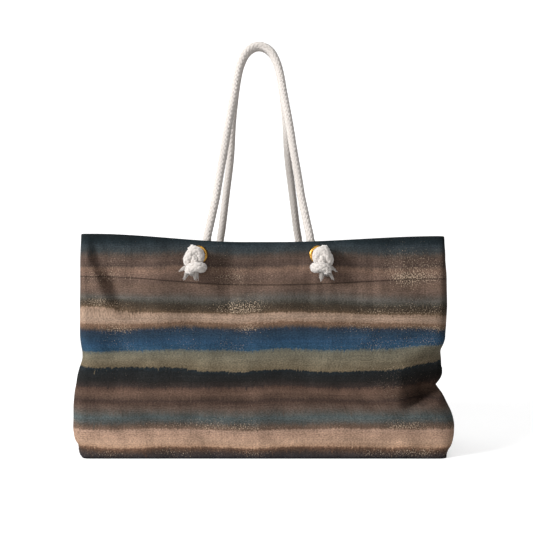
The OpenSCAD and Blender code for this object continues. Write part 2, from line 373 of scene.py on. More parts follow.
upper_place = new("ShaderNodeMapRange")
upper_place.label = "height over the upper stripes"
upper_place.location = (-1400, 150)
upper_place.inputs["From Min"].default_value = STRIPES_TOP * MM
upper_place.inputs["From Max"].default_value = PRINT_TOP * MM
link(height.outputs["Value"], upper_place.inputs["Value"])

lower_ramp = new("ShaderNodeValToRGB")
lower_ramp.label = "stripes, base to olive"
lower_ramp.location = (-1200, 450)
fill_ramp(lower_ramp, shaded(STRIPES), 0, STRIPES_TOP)
link(lower_place.outputs["Result"], lower_ramp.inputs["Fac"])

upper_ramp = new("ShaderNodeValToRGB")
upper_ramp.label = "stripes, blue to rim"
upper_ramp.location = (-1200, 150)
fill_ramp(upper_ramp, shaded(RIM_STRIPES), STRIPES_TOP, PRINT_TOP)
link(upper_place.outputs["Result"], upper_ramp.inputs["Fac"])

upper_half = new("ShaderNodeMath")
upper_half.label = "1 above the olive stripe"
upper_half.operation = "GREATER_THAN"
upper_half.location = (-1200, 750)
upper_half.inputs[1].default_value = STRIPES_TOP * MM
link(height.outputs["Value"], upper_half.inputs[0])

stripes = new("ShaderNodeMix")
stripes.label = "all stripes"
stripes.data_type = "RGBA"
stripes.location = (-850, 350)
link(upper_half.outputs["Value"], stripes.inputs["Factor"])
link(lower_ramp.outputs["Color"], stripes.inputs["A"])
link(upper_ramp.outputs["Color"], stripes.inputs["B"])
frame_nodes(tree, "painted stripes", [drift, drift_size, brush_map, brush, brush_size, drag_map, drag,
                                      drag_size, dragged, moved, height,
                                      lower_place, upper_place, lower_ramp, upper_ramp, upper_half, stripes])

# Blotches of thicker and thinner paint
blotch = new("ShaderNodeTexNoise")
blotch.label = "thick and thin paint"
blotch.location = (-1200, -200)
blotch.noise_dimensions = "2D"
blotch.inputs["Scale"].default_value = 26
blotch.inputs["Detail"].default_value = 5
blotch.inputs["Roughness"].default_value = 0.62
link(cloth_uv.outputs["UV"], blotch.inputs["Vector"])

blotch_range = new("ShaderNodeMapRange")
blotch_range.label = "brightness 0.76 to 1.26"
blotch_range.location = (-1000, -200)
blotch_range.inputs["From Min"].default_value = 0.3
blotch_range.inputs["From Max"].default_value = 0.7
blotch_range.inputs["To Min"].default_value = 0.76
blotch_range.inputs["To Max"].default_value = 1.26
link(blotch.outputs["Fac"], blotch_range.inputs["Value"])

drip_map = new("ShaderNodeMapping")
drip_map.label = "long upright marks"
drip_map.location = (-1400, -450)
drip_map.inputs["Scale"].default_value = (260, 22, 1)
link(cloth_uv.outputs["UV"], drip_map.inputs["Vector"])

drips = new("ShaderNodeTexNoise")
drips.label = "brush drag"
drips.location = (-1200, -450)
drips.noise_dimensions = "2D"
drips.inputs["Scale"].default_value = 1
drips.inputs["Detail"].default_value = 3
link(drip_map.outputs["Vector"], drips.inputs["Vector"])

drip_range = new("ShaderNodeMapRange")
drip_range.label = "brightness 0.94 to 1.06"
drip_range.location = (-1000, -450)
drip_range.inputs["From Min"].default_value = 0.3
drip_range.inputs["From Max"].default_value = 0.7
drip_range.inputs["To Min"].default_value = 0.94
drip_range.inputs["To Max"].default_value = 1.06
link(drips.outputs["Fac"], drip_range.inputs["Value"])

stroke_map = new("ShaderNodeMapping")
stroke_map.label = "long level marks"
stroke_map.location = (-1400, 1100)
stroke_map.inputs["Scale"].default_value = (11, 300, 1)
link(cloth_uv.outputs["UV"], stroke_map.inputs["Vector"])

strokes = new("ShaderNodeTexNoise")
strokes.label = "level brush strokes"
strokes.location = (-1200, 1100)
strokes.noise_dimensions = "2D"
strokes.inputs["Scale"].default_value = 1
strokes.inputs["Detail"].default_value = 3
link(stroke_map.outputs["Vector"], strokes.inputs["Vector"])

stroke_range = new("ShaderNodeMapRange")
stroke_range.label = "brightness 0.9 to 1.1"
stroke_range.location = (-1000, 1100)
stroke_range.inputs["From Min"].default_value = 0.3
stroke_range.inputs["From Max"].default_value = 0.7
stroke_range.inputs["To Min"].default_value = 0.9
stroke_range.inputs["To Max"].default_value = 1.1
link(strokes.outputs["Fac"], stroke_range.inputs["Value"])

shade = new("ShaderNodeMath")
shade.label = "paint brightness"
shade.operation = "MULTIPLY"
shade.location = (-800, -300)
link(blotch_range.outputs["Result"], shade.inputs[0])
link(drip_range.outputs["Result"], shade.inputs[1])

stroke_shade = new("ShaderNodeMath")
stroke_shade.label = "paint and stroke brightness"
stroke_shade.operation = "MULTIPLY"
stroke_shade.location = (-700, -100)
link(shade.outputs["Value"], stroke_shade.inputs[0])
link(stroke_range.outputs["Result"], stroke_shade.inputs[1])

grain_map = new("ShaderNodeMapping")
grain_map.label = "grain a little wider than tall"
grain_map.location = (-1400, 1400)
grain_map.inputs["Scale"].default_value = (380, 620, 1)
link(cloth_uv.outputs["UV"], grain_map.inputs["Vector"])

grain = new("ShaderNodeTexNoise")
grain.label = "grain of dry paint"
grain.location = (-1200, 1400)
grain.noise_dimensions = "2D"
grain.inputs["Scale"].default_value = 1
grain.inputs["Detail"].default_value = 2
link(grain_map.outputs["Vector"], grain.inputs["Vector"])

grain_range = new("ShaderNodeMapRange")
grain_range.label = "brightness 0.7 to 1.3"
grain_range.location = (-1000, 1400)
grain_range.inputs["From Min"].default_value = 0.3
grain_range.inputs["From Max"].default_value = 0.7
grain_range.inputs["To Min"].default_value = 0.7
grain_range.inputs["To Max"].default_value = 1.3
link(grain.outputs["Fac"], grain_range.inputs["Value"])

grain_shade = new("ShaderNodeMath")
grain_shade.label = "brightness with grain"
grain_shade.operation = "MULTIPLY"
grain_shade.location = (-620, 500)
link(stroke_shade.outputs["Value"], grain_shade.inputs[0])
link(grain_range.outputs["Result"], grain_shade.inputs[1])

painted = new("ShaderNodeVectorMath")
painted.label = "stripes with paint brightness"
painted.operation = "SCALE"
painted.location = (-600, 200)
link(stripes.outputs["Result"], painted.inputs[0])
link(grain_shade.outputs["Value"], painted.inputs["Scale"])
frame_nodes(tree, "thick and thin paint", [blotch, blotch_range, drip_map, drips, drip_range, stroke_map,
                                           strokes, stroke_range, shade, stroke_shade, grain_map, grain,
                                           grain_range, grain_shade, painted])

# Specks of bare pale cloth and of dark paint, strongest in the worn bands
# Each row: height in millimetres, and how many specks there are at that height, 1 being most
SPECK_BANDS = [
    (0, 0.3), (8, 0.7), (14, 0.6), (20, 0.25), (26, 0.1), (42, 0.12), (47, 0.8), (55, 0.6), (63, 0.35),
    (72, 0.2), (110, 0.3), (126, 0.15), (134, 0.4), (142, 0.2), (156, 0.3), (165, 0.5), (174, 0.5),
    (186, 0.35), (195, 0.8), (201, 0.7), (205, 0.12), (215, 0.25), (219, 1.0), (231, 0.85), (238, 0.5),
    (250, 0.25), (262, 0.5), (274, 0.7), (286, 0.45), (300, 0.4), (312, 0.3), (322, 0.15),
]
# Each row: millimetres along the cloth from the middle of the panel, and how worn it is there.
# The right side, where the bag slumps, is rubbed most.
WEAR_REACH = 350
WORN_ALONG = [
    (-WEAR_REACH, 0.5), (-270, 0.7), (-225, 1.0), (-150, 0.7), (-60, 1.0), (0, 0.85), (60, 0.7), (120, 0.55),
    (180, 1.1), (210, 1.35), (WEAR_REACH, 1.2),
]
speck_place = new("ShaderNodeMapRange")
speck_place.label = "height over the whole cloth"
speck_place.location = (-1400, -750)
speck_place.inputs["From Min"].default_value = 0
speck_place.inputs["From Max"].default_value = PRINT_TOP * MM
link(height.outputs["Value"], speck_place.inputs["Value"])

along_range = new("ShaderNodeMapRange")
along_range.label = "along the whole panel"
along_range.location = (-1400, -1500)
along_range.inputs["From Min"].default_value = -WEAR_REACH * MM
along_range.inputs["From Max"].default_value = WEAR_REACH * MM
link(split.outputs["X"], along_range.inputs["Value"])

worn_places = new("ShaderNodeValToRGB")
worn_places.label = "how worn each place along is"
worn_places.location = (-1200, -1500)
fill_ramp(worn_places, [(x + WEAR_REACH, (g, g, g, 1)) for x, g in WORN_ALONG], 0, 2 * WEAR_REACH)
link(along_range.outputs["Result"], worn_places.inputs["Fac"])

speck_bands = new("ShaderNodeValToRGB")
speck_bands.label = "how worn each band is"
speck_bands.location = (-1200, -750)
fill_ramp(speck_bands, [(z, (g, g, g, 1)) for z, g in SPECK_BANDS], 0, PRINT_TOP)
link(speck_place.outputs["Result"], speck_bands.inputs["Fac"])

speck_map = new("ShaderNodeMapping")
speck_map.label = "specks a little taller than wide"
speck_map.location = (-1400, -1050)
speck_map.inputs["Scale"].default_value = (560, 430, 1)
link(cloth_uv.outputs["UV"], speck_map.inputs["Vector"])

specks = new("ShaderNodeTexNoise")
specks.label = "fine specks"
specks.location = (-1200, -1050)
specks.noise_dimensions = "2D"
specks.inputs["Scale"].default_value = 1
specks.inputs["Detail"].default_value = 4
specks.inputs["Roughness"].default_value = 0.7
link(speck_map.outputs["Vector"], specks.inputs["Vector"])

cluster = new("ShaderNodeTexNoise")
cluster.label = "where specks gather"
cluster.location = (-1200, -1300)
cluster.noise_dimensions = "2D"
cluster.inputs["Scale"].default_value = 11
cluster.inputs["Detail"].default_value = 4
link(cloth_uv.outputs["UV"], cluster.inputs["Vector"])

cluster_range = new("ShaderNodeMapRange")
cluster_range.label = "0.7 to 1.6 times as many"
cluster_range.location = (-1000, -1300)
cluster_range.inputs["From Min"].default_value = 0.4
cluster_range.inputs["From Max"].default_value = 0.62
cluster_range.inputs["To Min"].default_value = 0.7
cluster_range.inputs["To Max"].default_value = 1.6
link(cluster.outputs["Fac"], cluster_range.inputs["Value"])

wear = new("ShaderNodeMath")
wear.label = "wear here"
wear.operation = "MULTIPLY"
wear.location = (-800, -900)
link(speck_bands.outputs["Color"], wear.inputs[0])
link(cluster_range.outputs["Result"], wear.inputs[1])

wear_along = new("ShaderNodeMath")
wear_along.label = "wear at this height and place"
wear_along.operation = "MULTIPLY"
wear_along.location = (-700, -1500)
link(wear.outputs["Value"], wear_along.inputs[0])
link(worn_places.outputs["Color"], wear_along.inputs[1])

pale_edge = new("ShaderNodeMath")
pale_edge.label = "pale specks start above"
pale_edge.operation = "MULTIPLY_ADD"
pale_edge.location = (-600, -900)
pale_edge.inputs[1].default_value = -0.19
pale_edge.inputs[2].default_value = 0.745
link(wear_along.outputs["Value"], pale_edge.inputs[0])

pale_over = new("ShaderNodeMath")
pale_over.label = "speck over the edge"
pale_over.operation = "SUBTRACT"
pale_over.location = (-400, -900)
link(specks.outputs["Fac"], pale_over.inputs[0])
link(pale_edge.outputs["Value"], pale_over.inputs[1])

pale_amount = new("ShaderNodeMapRange")
pale_amount.label = "soft pale speck"
pale_amount.location = (-200, -900)
pale_amount.inputs["From Min"].default_value = 0
pale_amount.inputs["From Max"].default_value = 0.10
pale_amount.inputs["To Max"].default_value = 0.7
link(pale_over.outputs["Value"], pale_amount.inputs["Value"])

dark_edge = new("ShaderNodeMath")
dark_edge.label = "dark specks end below"
dark_edge.operation = "MULTIPLY_ADD"
dark_edge.location = (-600, -1150)
dark_edge.inputs[1].default_value = 0.17
dark_edge.inputs[2].default_value = 0.24
link(wear_along.outputs["Value"], dark_edge.inputs[0])

dark_under = new("ShaderNodeMath")
dark_under.label = "speck under the edge"
dark_under.operation = "SUBTRACT"
dark_under.location = (-400, -1150)
link(dark_edge.outputs["Value"], dark_under.inputs[0])
link(specks.outputs["Fac"], dark_under.inputs[1])

dark_amount = new("ShaderNodeMapRange")
dark_amount.label = "soft dark speck"
dark_amount.location = (-200, -1150)
dark_amount.inputs["From Min"].default_value = 0
dark_amount.inputs["From Max"].default_value = 0.12
dark_amount.inputs["To Max"].default_value = 0.8
link(dark_under.outputs["Value"], dark_amount.inputs["Value"])

with_dark = new("ShaderNodeMix")
with_dark.label = "dark specks on the stripes"
with_dark.data_type = "RGBA"
with_dark.location = (0, 100)
with_dark.inputs["B"].default_value = linear((34, 28, 24))
link(dark_amount.outputs["Result"], with_dark.inputs["Factor"])
link(painted.outputs["Vector"], with_dark.inputs["A"])

with_pale = new("ShaderNodeMix")
with_pale.label = "pale specks on top"
with_pale.data_type = "RGBA"
with_pale.location = (200, 100)
with_pale.inputs["B"].default_value = linear((196, 174, 150))
link(pale_amount.outputs["Result"], with_pale.inputs["Factor"])
link(with_dark.outputs["Result"], with_pale.inputs["A"])
frame_nodes(tree, "worn specks", [along_range, worn_places, wear_along, speck_place, speck_bands,
                                  speck_map, specks, cluster, cluster_range, wear,
                                  pale_edge, pale_over, pale_amount, dark_edge, dark_under, dark_amount,
                                  with_dark, with_pale])

# The hem: painted shade darkens the print along the row of stitches, where the cloth is drawn in.
below_rim = new("ShaderNodeAttribute")
below_rim.label = "metres below the rim"
below_rim.attribute_name = "below_rim"
below_rim.location = (-800, 900)

from_hem = new("ShaderNodeMath")
from_hem.label = "height above the stitches"
from_hem.operation = "SUBTRACT"
from_hem.location = (-600, 900)
from_hem.inputs[1].default_value = HEM_BELOW_RIM
link(below_rim.outputs["Fac"], from_hem.inputs[0])

off_hem = new("ShaderNodeMath")
off_hem.label = "distance from the stitches"
off_hem.operation = "ABSOLUTE"
off_hem.location = (-400, 900)
link(from_hem.outputs["Value"], off_hem.inputs[0])

# Painted shade: the print is darkened to half on the line of stitches and back to full 1.6 mm away
hem_painted_shade = new("ShaderNodeMapRange")
hem_painted_shade.label = "dark where the stitches pull in"
hem_painted_shade.location = (-200, 900)
hem_painted_shade.inputs["From Min"].default_value = 0.4 * MM
hem_painted_shade.inputs["From Max"].default_value = 1.6 * MM
hem_painted_shade.inputs["To Min"].default_value = 0.5
link(off_hem.outputs["Value"], hem_painted_shade.inputs["Value"])

hemmed = new("ShaderNodeVectorMath")
hemmed.label = "print with the hem line"
hemmed.operation = "SCALE"
hemmed.location = (450, 300)
link(with_pale.outputs["Result"], hemmed.inputs[0])
link(hem_painted_shade.outputs["Result"], hemmed.inputs["Scale"])
frame_nodes(tree, "hem line", [below_rim, from_hem, off_hem, hem_painted_shade, hemmed])

# Plain weave: threads each way at 0.9 mm, as height for the bump and a little colour
THREAD_TURNS = 2 * math.pi / (0.9 * MM)
warp_wave = new("ShaderNodeMath")
warp_wave.label = "upright threads"
warp_wave.operation = "MULTIPLY"
warp_wave.location = (-200, -1500)
warp_wave.inputs[1].default_value = THREAD_TURNS
link(split.outputs["X"], warp_wave.inputs[0])

warp_sine = new("ShaderNodeMath")
warp_sine.label = "round upright threads"
warp_sine.operation = "SINE"
warp_sine.location = (0, -1500)
link(warp_wave.outputs["Value"], warp_sine.inputs[0])

weft_wave = new("ShaderNodeMath")
weft_wave.label = "level threads"
weft_wave.operation = "MULTIPLY"
weft_wave.location = (-200, -1700)
weft_wave.inputs[1].default_value = THREAD_TURNS
link(split.outputs["Y"], weft_wave.inputs[0])

weft_sine = new("ShaderNodeMath")
weft_sine.label = "round level threads"
weft_sine.operation = "SINE"
weft_sine.location = (0, -1700)
link(weft_wave.outputs["Value"], weft_sine.inputs[0])

weave = new("ShaderNodeMath")
weave.label = "over and under"
weave.operation = "MULTIPLY"
weave.location = (200, -1600)
link(warp_sine.outputs["Value"], weave.inputs[0])
link(weft_sine.outputs["Value"], weave.inputs[1])

slub = new("ShaderNodeMath")
slub.label = "weave with paint specks"
slub.operation = "ADD"
slub.location = (400, -1500)
link(weave.outputs["Value"], slub.inputs[0])
link(specks.outputs["Fac"], slub.inputs[1])

weave_bump = new("ShaderNodeBump")
weave_bump.label = "weave relief, a tenth of a millimetre"
weave_bump.location = (600, -1500)
weave_bump.inputs["Strength"].default_value = 0.5
weave_bump.inputs["Distance"].default_value = 0.12 * MM
link(slub.outputs["Value"], weave_bump.inputs["Height"])
frame_nodes(tree, "plain weave", [warp_wave, warp_sine, weft_wave, weft_sine, weave, slub, weave_bump])

link(hemmed.outputs["Vector"], shader.inputs["Base Color"])
link(weave_bump.outputs["Normal"], shader.inputs["Normal"])
print("canvas nodes", len(tree.nodes))


# %% [markdown]
# ## Plain cloths
# The lining, the zip tape, the thread, the stiffening board and the nylon coil are each one
# colour: fine fibres or a fine grain, and a slow change of tone.  One function makes them all.

# %% Plain cloth material
def plain_cloth(name, colour, thread_mm, relief_mm, roughness=0.9):
    material, tree, shader = new_material(name, roughness, colour)
    new, link = tree.nodes.new, tree.links.new
    shader.inputs["Specular IOR Level"].default_value = 0.2
    place_on = new("ShaderNodeTexCoord")
    place_on.label = "place on the piece"
    place_on.location = (-1000, 0)

    slow = new("ShaderNodeTexNoise")
    slow.label = "slow change of tone"
    slow.location = (-700, 250)
    slow.inputs["Scale"].default_value = 22
    slow.inputs["Detail"].default_value = 5
    link(place_on.outputs["Object"], slow.inputs["Vector"])

    tones = new("ShaderNodeValToRGB")
    tones.label = "tones of the cloth"
    tones.location = (-400, 250)
    dark = tuple(int(c * 0.86) for c in colour)
    light = tuple(min(255, int(c * 1.08)) for c in colour)
    fill_ramp(tones, [(0.3, dark), (0.7, light)], 0, 1)
    link(slow.outputs["Fac"], tones.inputs["Fac"])

    threads = new("ShaderNodeTexNoise")
    threads.label = "single threads"
    threads.location = (-700, -50)
    threads.inputs["Scale"].default_value = 1 / (thread_mm * MM)
    threads.inputs["Detail"].default_value = 2
    link(place_on.outputs["Object"], threads.inputs["Vector"])

    thread_tone = new("ShaderNodeMapRange")
    thread_tone.label = "thread brightness"
    thread_tone.location = (-400, -50)
    thread_tone.inputs["To Min"].default_value = 0.82
    thread_tone.inputs["To Max"].default_value = 1.16
    link(threads.outputs["Fac"], thread_tone.inputs["Value"])

    toned = new("ShaderNodeVectorMath")
    toned.label = "tone times thread"
    toned.operation = "SCALE"
    toned.location = (-100, 200)
    link(tones.outputs["Color"], toned.inputs[0])
    link(thread_tone.outputs["Result"], toned.inputs["Scale"])

    relief = new("ShaderNodeBump")
    relief.label = "thread relief"
    relief.location = (300, -200)
    relief.inputs["Strength"].default_value = 0.6
    relief.inputs["Distance"].default_value = relief_mm * MM
    link(threads.outputs["Fac"], relief.inputs["Height"])
    frame_nodes(tree, "tone", [slow, tones, toned])
    frame_nodes(tree, "threads", [threads, thread_tone, relief])

    link(toned.outputs["Vector"], shader.inputs["Base Color"])
    link(relief.outputs["Normal"], shader.inputs["Normal"])
    return material


lining_cotton = plain_cloth("lining_cotton", (205, 190, 166), 0.8, 0.15)
zip_tape_cloth = plain_cloth("zip_tape", (150, 134, 112), 0.6, 0.12)
thread_cloth = plain_cloth("thread", (58, 45, 38), 0.3, 0.1)
board_black = plain_cloth("base_board", (58, 55, 52), 1.5, 0.05, roughness=0.6)
coil_nylon = plain_cloth("zip_coil", (140, 124, 104), 0.4, 0.03, roughness=0.45)
print("plain cloths ready")


# %% [markdown]
# ## Metal
# The grommets and zip parts are gold-coloured brass, satin where hands and rope rub it.

# %% Brass material
def brass_metal(name, colour, roughness):
    material, tree, shader = new_material(name, roughness, colour)
    new, link = tree.nodes.new, tree.links.new
    shader.inputs["Metallic"].default_value = 1.0
    place_on = new("ShaderNodeTexCoord")
    place_on.label = "place on the piece"
    place_on.location = (-1000, 0)

    tarnish = new("ShaderNodeTexNoise")
    tarnish.label = "handling and tarnish"
    tarnish.location = (-700, 200)
    tarnish.inputs["Scale"].default_value = 260
    tarnish.inputs["Detail"].default_value = 4
    link(place_on.outputs["Object"], tarnish.inputs["Vector"])

    tints = new("ShaderNodeValToRGB")
    tints.label = "bright to tarnished"
    tints.location = (-400, 200)
    fill_ramp(tints, [(0.3, tuple(int(c * 0.8) for c in colour)), (0.7, colour)], 0, 1)
    link(tarnish.outputs["Fac"], tints.inputs["Fac"])

    polish = new("ShaderNodeMapRange")
    polish.label = "roughness from rubbing"
    polish.location = (-400, -50)
    polish.inputs["To Min"].default_value = roughness - 0.08
    polish.inputs["To Max"].default_value = roughness + 0.14
    link(tarnish.outputs["Fac"], polish.inputs["Value"])

    scratches = new("ShaderNodeTexNoise")
    scratches.label = "fine scratches"
    scratches.location = (-700, -300)
    scratches.inputs["Scale"].default_value = 1800
    link(place_on.outputs["Object"], scratches.inputs["Vector"])

    relief = new("ShaderNodeBump")
    relief.label = "scratch relief"
    relief.location = (-200, -300)
    relief.inputs["Strength"].default_value = 0.2
    relief.inputs["Distance"].default_value = 0.02 * MM
    link(scratches.outputs["Fac"], relief.inputs["Height"])
    frame_nodes(tree, "tarnish", [tarnish, tints, polish])
    frame_nodes(tree, "scratches", [scratches, relief])

    link(tints.outputs["Color"], shader.inputs["Base Color"])
    link(polish.outputs["Result"], shader.inputs["Roughness"])
    link(relief.outputs["Normal"], shader.inputs["Normal"])
    return material


grommet_brass = brass_metal("grommet_brass", (226, 172, 84), 0.26)
zip_brass = brass_metal("zip_brass", (206, 164, 92), 0.32)
print("brass ready")

# %% [markdown]
# ## Braided rope
# Cotton rope is off-white, with painted shade: darker where the strands dip under each other and
# on the inner side of each strand.  Each strand's UV map runs round it and along it, so fine yarn
# lines can follow the lay of the strand, and an attribute says how deep a point lies in the braid.

# %% Rope material
cotton_rope, tree, shader = new_material("cotton_rope", 0.92, (232, 226, 216))
new, link = tree.nodes.new, tree.links.new
shader.inputs["Specular IOR Level"].default_value = 0.2
shader.inputs["Sheen Weight"].default_value = 0.7
shader.inputs["Sheen Roughness"].default_value = 0.5

depth = new("ShaderNodeAttribute")
depth.label = "how high in the braid, 0 to 1"
depth.attribute_name = "lift"
depth.location = (-900, 300)

# Painted shade: the grooves and the inner sides of the strands are dark, the crowns near white
braid_painted_shade = new("ShaderNodeValToRGB")
braid_painted_shade.label = "shaded grooves to white crowns"
braid_painted_shade.location = (-600, 300)
fill_ramp(braid_painted_shade, [(0.0, (84, 76, 70)), (0.5, (140, 133, 127)), (0.9, (203, 196, 190))], 0, 1)
link(depth.outputs["Fac"], braid_painted_shade.inputs["Fac"])

yarn_uv = new("ShaderNodeUVMap")
yarn_uv.label = "round and along the strand"
yarn_uv.uv_map = "cloth"
yarn_uv.location = (-1300, -100)

yarn_map = new("ShaderNodeMapping")
yarn_map.label = "fine yarns along the strand"
yarn_map.location = (-1100, -100)
yarn_map.inputs["Scale"].default_value = (9, 160, 1)
yarn_map.inputs["Rotation"].default_value = (0, 0, 0.2)
link(yarn_uv.outputs["UV"], yarn_map.inputs["Vector"])

yarns = new("ShaderNodeTexNoise")
yarns.label = "yarns"
yarns.location = (-900, -100)
yarns.noise_dimensions = "2D"
yarns.inputs["Scale"].default_value = 1
yarns.inputs["Detail"].default_value = 3
link(yarn_map.outputs["Vector"], yarns.inputs["Vector"])

yarn_tone = new("ShaderNodeMapRange")
yarn_tone.label = "yarn brightness"
yarn_tone.location = (-600, -100)
yarn_tone.inputs["From Min"].default_value = 0.3
yarn_tone.inputs["From Max"].default_value = 0.7
yarn_tone.inputs["To Min"].default_value = 0.9
yarn_tone.inputs["To Max"].default_value = 1.05
link(yarns.outputs["Fac"], yarn_tone.inputs["Value"])

rope_colour = new("ShaderNodeVectorMath")
rope_colour.label = "tone times yarn"
rope_colour.operation = "SCALE"
rope_colour.location = (-200, 200)
link(braid_painted_shade.outputs["Color"], rope_colour.inputs[0])
link(yarn_tone.outputs["Result"], rope_colour.inputs["Scale"])

yarn_relief = new("ShaderNodeBump")
yarn_relief.label = "yarn relief"
yarn_relief.location = (-200, -200)
yarn_relief.inputs["Strength"].default_value = 0.9
yarn_relief.inputs["Distance"].default_value = 0.4 * MM
link(yarns.outputs["Fac"], yarn_relief.inputs["Height"])
frame_nodes(tree, "grooves and crowns", [depth, braid_painted_shade, rope_colour])
frame_nodes(tree, "yarns", [yarn_uv, yarn_map, yarns, yarn_tone, yarn_relief])
link(rope_colour.outputs["Vector"], shader.inputs["Base Color"])
link(yarn_relief.outputs["Normal"], shader.inputs["Normal"])
print("rope material ready")

# %% [markdown]
# ## The route of a rope
# Each handle is one rope.  It starts in its stop knot outside the panel, passes the grommet, rises
# inside the panel to the rim and arches over to the other side.  The points are the same as in the
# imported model, in metres; a smooth curve through them gives the braid its line.

# %% Rope routes
LEG_FRONT = [(90, -89, 305), (90, -84, 305), (90, -77, 305), (89.5, -72, 306.5), (88.5, -68.5, 310),
             (86.5, -67, 314.5), (83, -67, 320)]
LEG_BACK = [(90, -89, 305), (90, -84, 305), (90, -77, 305), (89, -72, 306), (86, -68.5, 309),
            (81, -67, 313.5), (74, -67, 319)]
ARCH_FRONT = [(79, -67, 326), (77.5, -65.5, 336), (74.5, -62, 350), (70, -57, 372), (65.5, -51.5, 395),
              (61, -44.5, 425), (57, -38.5, 450), (53, -33, 475), (49.5, -27, 500), (46, -22, 522),
              (42, -16.5, 545), (38.5, -12, 565), (35, -8.5, 587), (31.5, -7, 603), (27, -6.5, 616),
              (20.5, -6.5, 628), (11, -6.5, 636), (0, -6.5, 639)]
ARCH_BACK = [(67, -67, 326), (65, -65.5, 336), (62.5, -62, 350), (59.5, -57, 372), (56.5, -51.5, 395),
             (52.5, -44.5, 425), (49, -38.5, 450), (46.5, -33, 475), (45, -27, 500), (43.5, -22, 522),
             (41, -16.5, 545), (38.5, -12, 565), (35, -8.5, 587), (31.5, -7, 603), (27, -6.5, 616),
             (20.5, -6.5, 628), (11, -6.5, 636), (0, -6.5, 639)]


def whole_route(leg, arch, turn):
    """The full rope from the left knot to the right knot; turn is -1 for the front, 1 for the back."""
    right = [Vector((x, -turn * y, z)) * MM for x, y, z in leg + arch]
    left = [Vector((-p.x, p.y, p.z)) for p in right[:-1]]
    return left + right[::-1]


def smooth_line(points, step):
    """Evenly spaced points on a smooth curve through the given ones."""
    dense = []
    last = len(points) - 1
    for i in range(last):
        a, b = points[i], points[i + 1]
        before = points[i - 1] if i else a * 2 - b
        after = points[i + 2] if i + 2 <= last else b * 2 - a
        for k in range(12):
            t = k / 12
            dense.append(0.5 * ((2 * a) + (b - before) * t + (2 * before - 5 * a + 4 * b - after) * t * t
                                + (3 * a - before - 3 * b + after) * t ** 3))
    dense.append(points[-1])
    dense = np.array(dense)
    along = np.concatenate([[0], np.cumsum(np.linalg.norm(np.diff(dense, axis=0), axis=1))])
    count = max(2, round(along[-1] / step))
    even = np.linspace(0, along[-1], count + 1)
    return np.stack([np.interp(even, along, dense[:, k]) for k in range(3)], axis=1), along[-1]


def line_frames(line):
    """Two directions square to the line at each point, carried along it without twist."""
    tangents = np.gradient(line, axis=0)
    tangents /= np.linalg.norm(tangents, axis=1)[:, None]
    side = np.cross(tangents[0], (0.3, 0.2, 1.0))
    side /= np.linalg.norm(side)
    sides = []
    for t in tangents:
        side = side - t * np.dot(side, t)
        side = side / np.linalg.norm(side)
        sides.append(side)
    sides = np.array(sides)
    return sides, np.cross(tangents, sides)


# %% [markdown]
# ## Braiding
# Six strands wind to the left and six to the right.  All of them rise and fall together along the
# rope, in opposite senses for the two hands, and that is what makes each pass over and then under
# its neighbours.  A strand is a grid rolled into a flattened tube: the grid gives the faces and
# only its points are moved.

# %% Braid
BRAID_STRANDS = 6
BRAID_PITCH = 44 * MM
STRAND_SIDES = 8
STRAND_HALF_WIDTH = 2.75 * MM
STRAND_HALF_HEIGHT = 1.5 * MM
WEAVE_RISE = 1.1 * MM


def strand_points(line, side, over, step_count, hand, index, radius):
    along = np.linspace(0, 1, len(line)) * step_count
    turn = hand * 2 * math.pi * along / BRAID_PITCH + 2 * math.pi * index / BRAID_STRANDS
    rise = hand * np.cos(2 * math.pi * BRAID_STRANDS * along / BRAID_PITCH)
    centre_r = radius - STRAND_HALF_HEIGHT - WEAVE_RISE * (1 - rise) * 0.55
    outward = side * np.cos(turn)[:, None] + over * np.sin(turn)[:, None]
    return line + outward * centre_r[:, None], outward, along, (rise + 1) / 2


def add_strand(bm, line, side, over, length, hand, index, radius, lift_layer):
    centres, outward, along, rise = strand_points(line, side, over, length, hand, index, radius)
    forward = np.gradient(centres, axis=0)
    forward /= np.linalg.norm(forward, axis=1)[:, None]
    across = np.cross(forward, outward)
    across /= np.linalg.norm(across, axis=1)[:, None]
    rings = len(centres)
    grid = bmesh.ops.create_grid(bm, x_segments=STRAND_SIDES, y_segments=rings - 1, size=1)
    verts = grid["verts"]
    uv_layer = bm.loops.layers.uv.verify()
    width = radius / ROPE_R * STRAND_HALF_WIDTH
    place_uv = {}
    for v in verts:
        col = round((v.co.x + 1) / 2 * STRAND_SIDES)
        row = round((v.co.y + 1) / 2 * (rings - 1))
        angle = 2 * math.pi * col / STRAND_SIDES
        point = (centres[row] + across[row] * width * math.cos(angle)
                 + outward[row] * STRAND_HALF_HEIGHT * math.sin(angle))
        v.co = point
        # lift sets the rope's painted shade: low where a strand dips under its neighbours and on its inner side
        v[lift_layer] = float(np.clip(0.55 * rise[row] + 0.3 + 0.35 * math.sin(angle), 0, 1))
        place_uv[v] = (along[row], col / STRAND_SIDES * 0.016)
    for v in verts:
        for loop in v.link_loops:
            loop[uv_layer].uv = place_uv[v]
    return verts


def braid(line, length, radius, bm=None):
    """A braided rope along an evenly spaced line."""
    bm = bm or bmesh.new()
    side, over = line_frames(line)
    for hand in (-1, 1):
        for index in range(BRAID_STRANDS):
            part = bmesh.new()
            lift_layer = part.verts.layers.float.new("lift")
            part.loops.layers.uv.new("cloth")
            verts = add_strand(part, line, side, over, length, hand, index, radius, lift_layer)
            bmesh.ops.remove_doubles(part, verts=verts, dist=1e-6)
            holes = [e for e in part.edges if e.is_boundary]
            bmesh.ops.holes_fill(part, edges=holes, sides=STRAND_SIDES)
            bmesh.ops.recalc_face_normals(part, faces=part.faces[:])
            add_part(bm, part)
    return bm


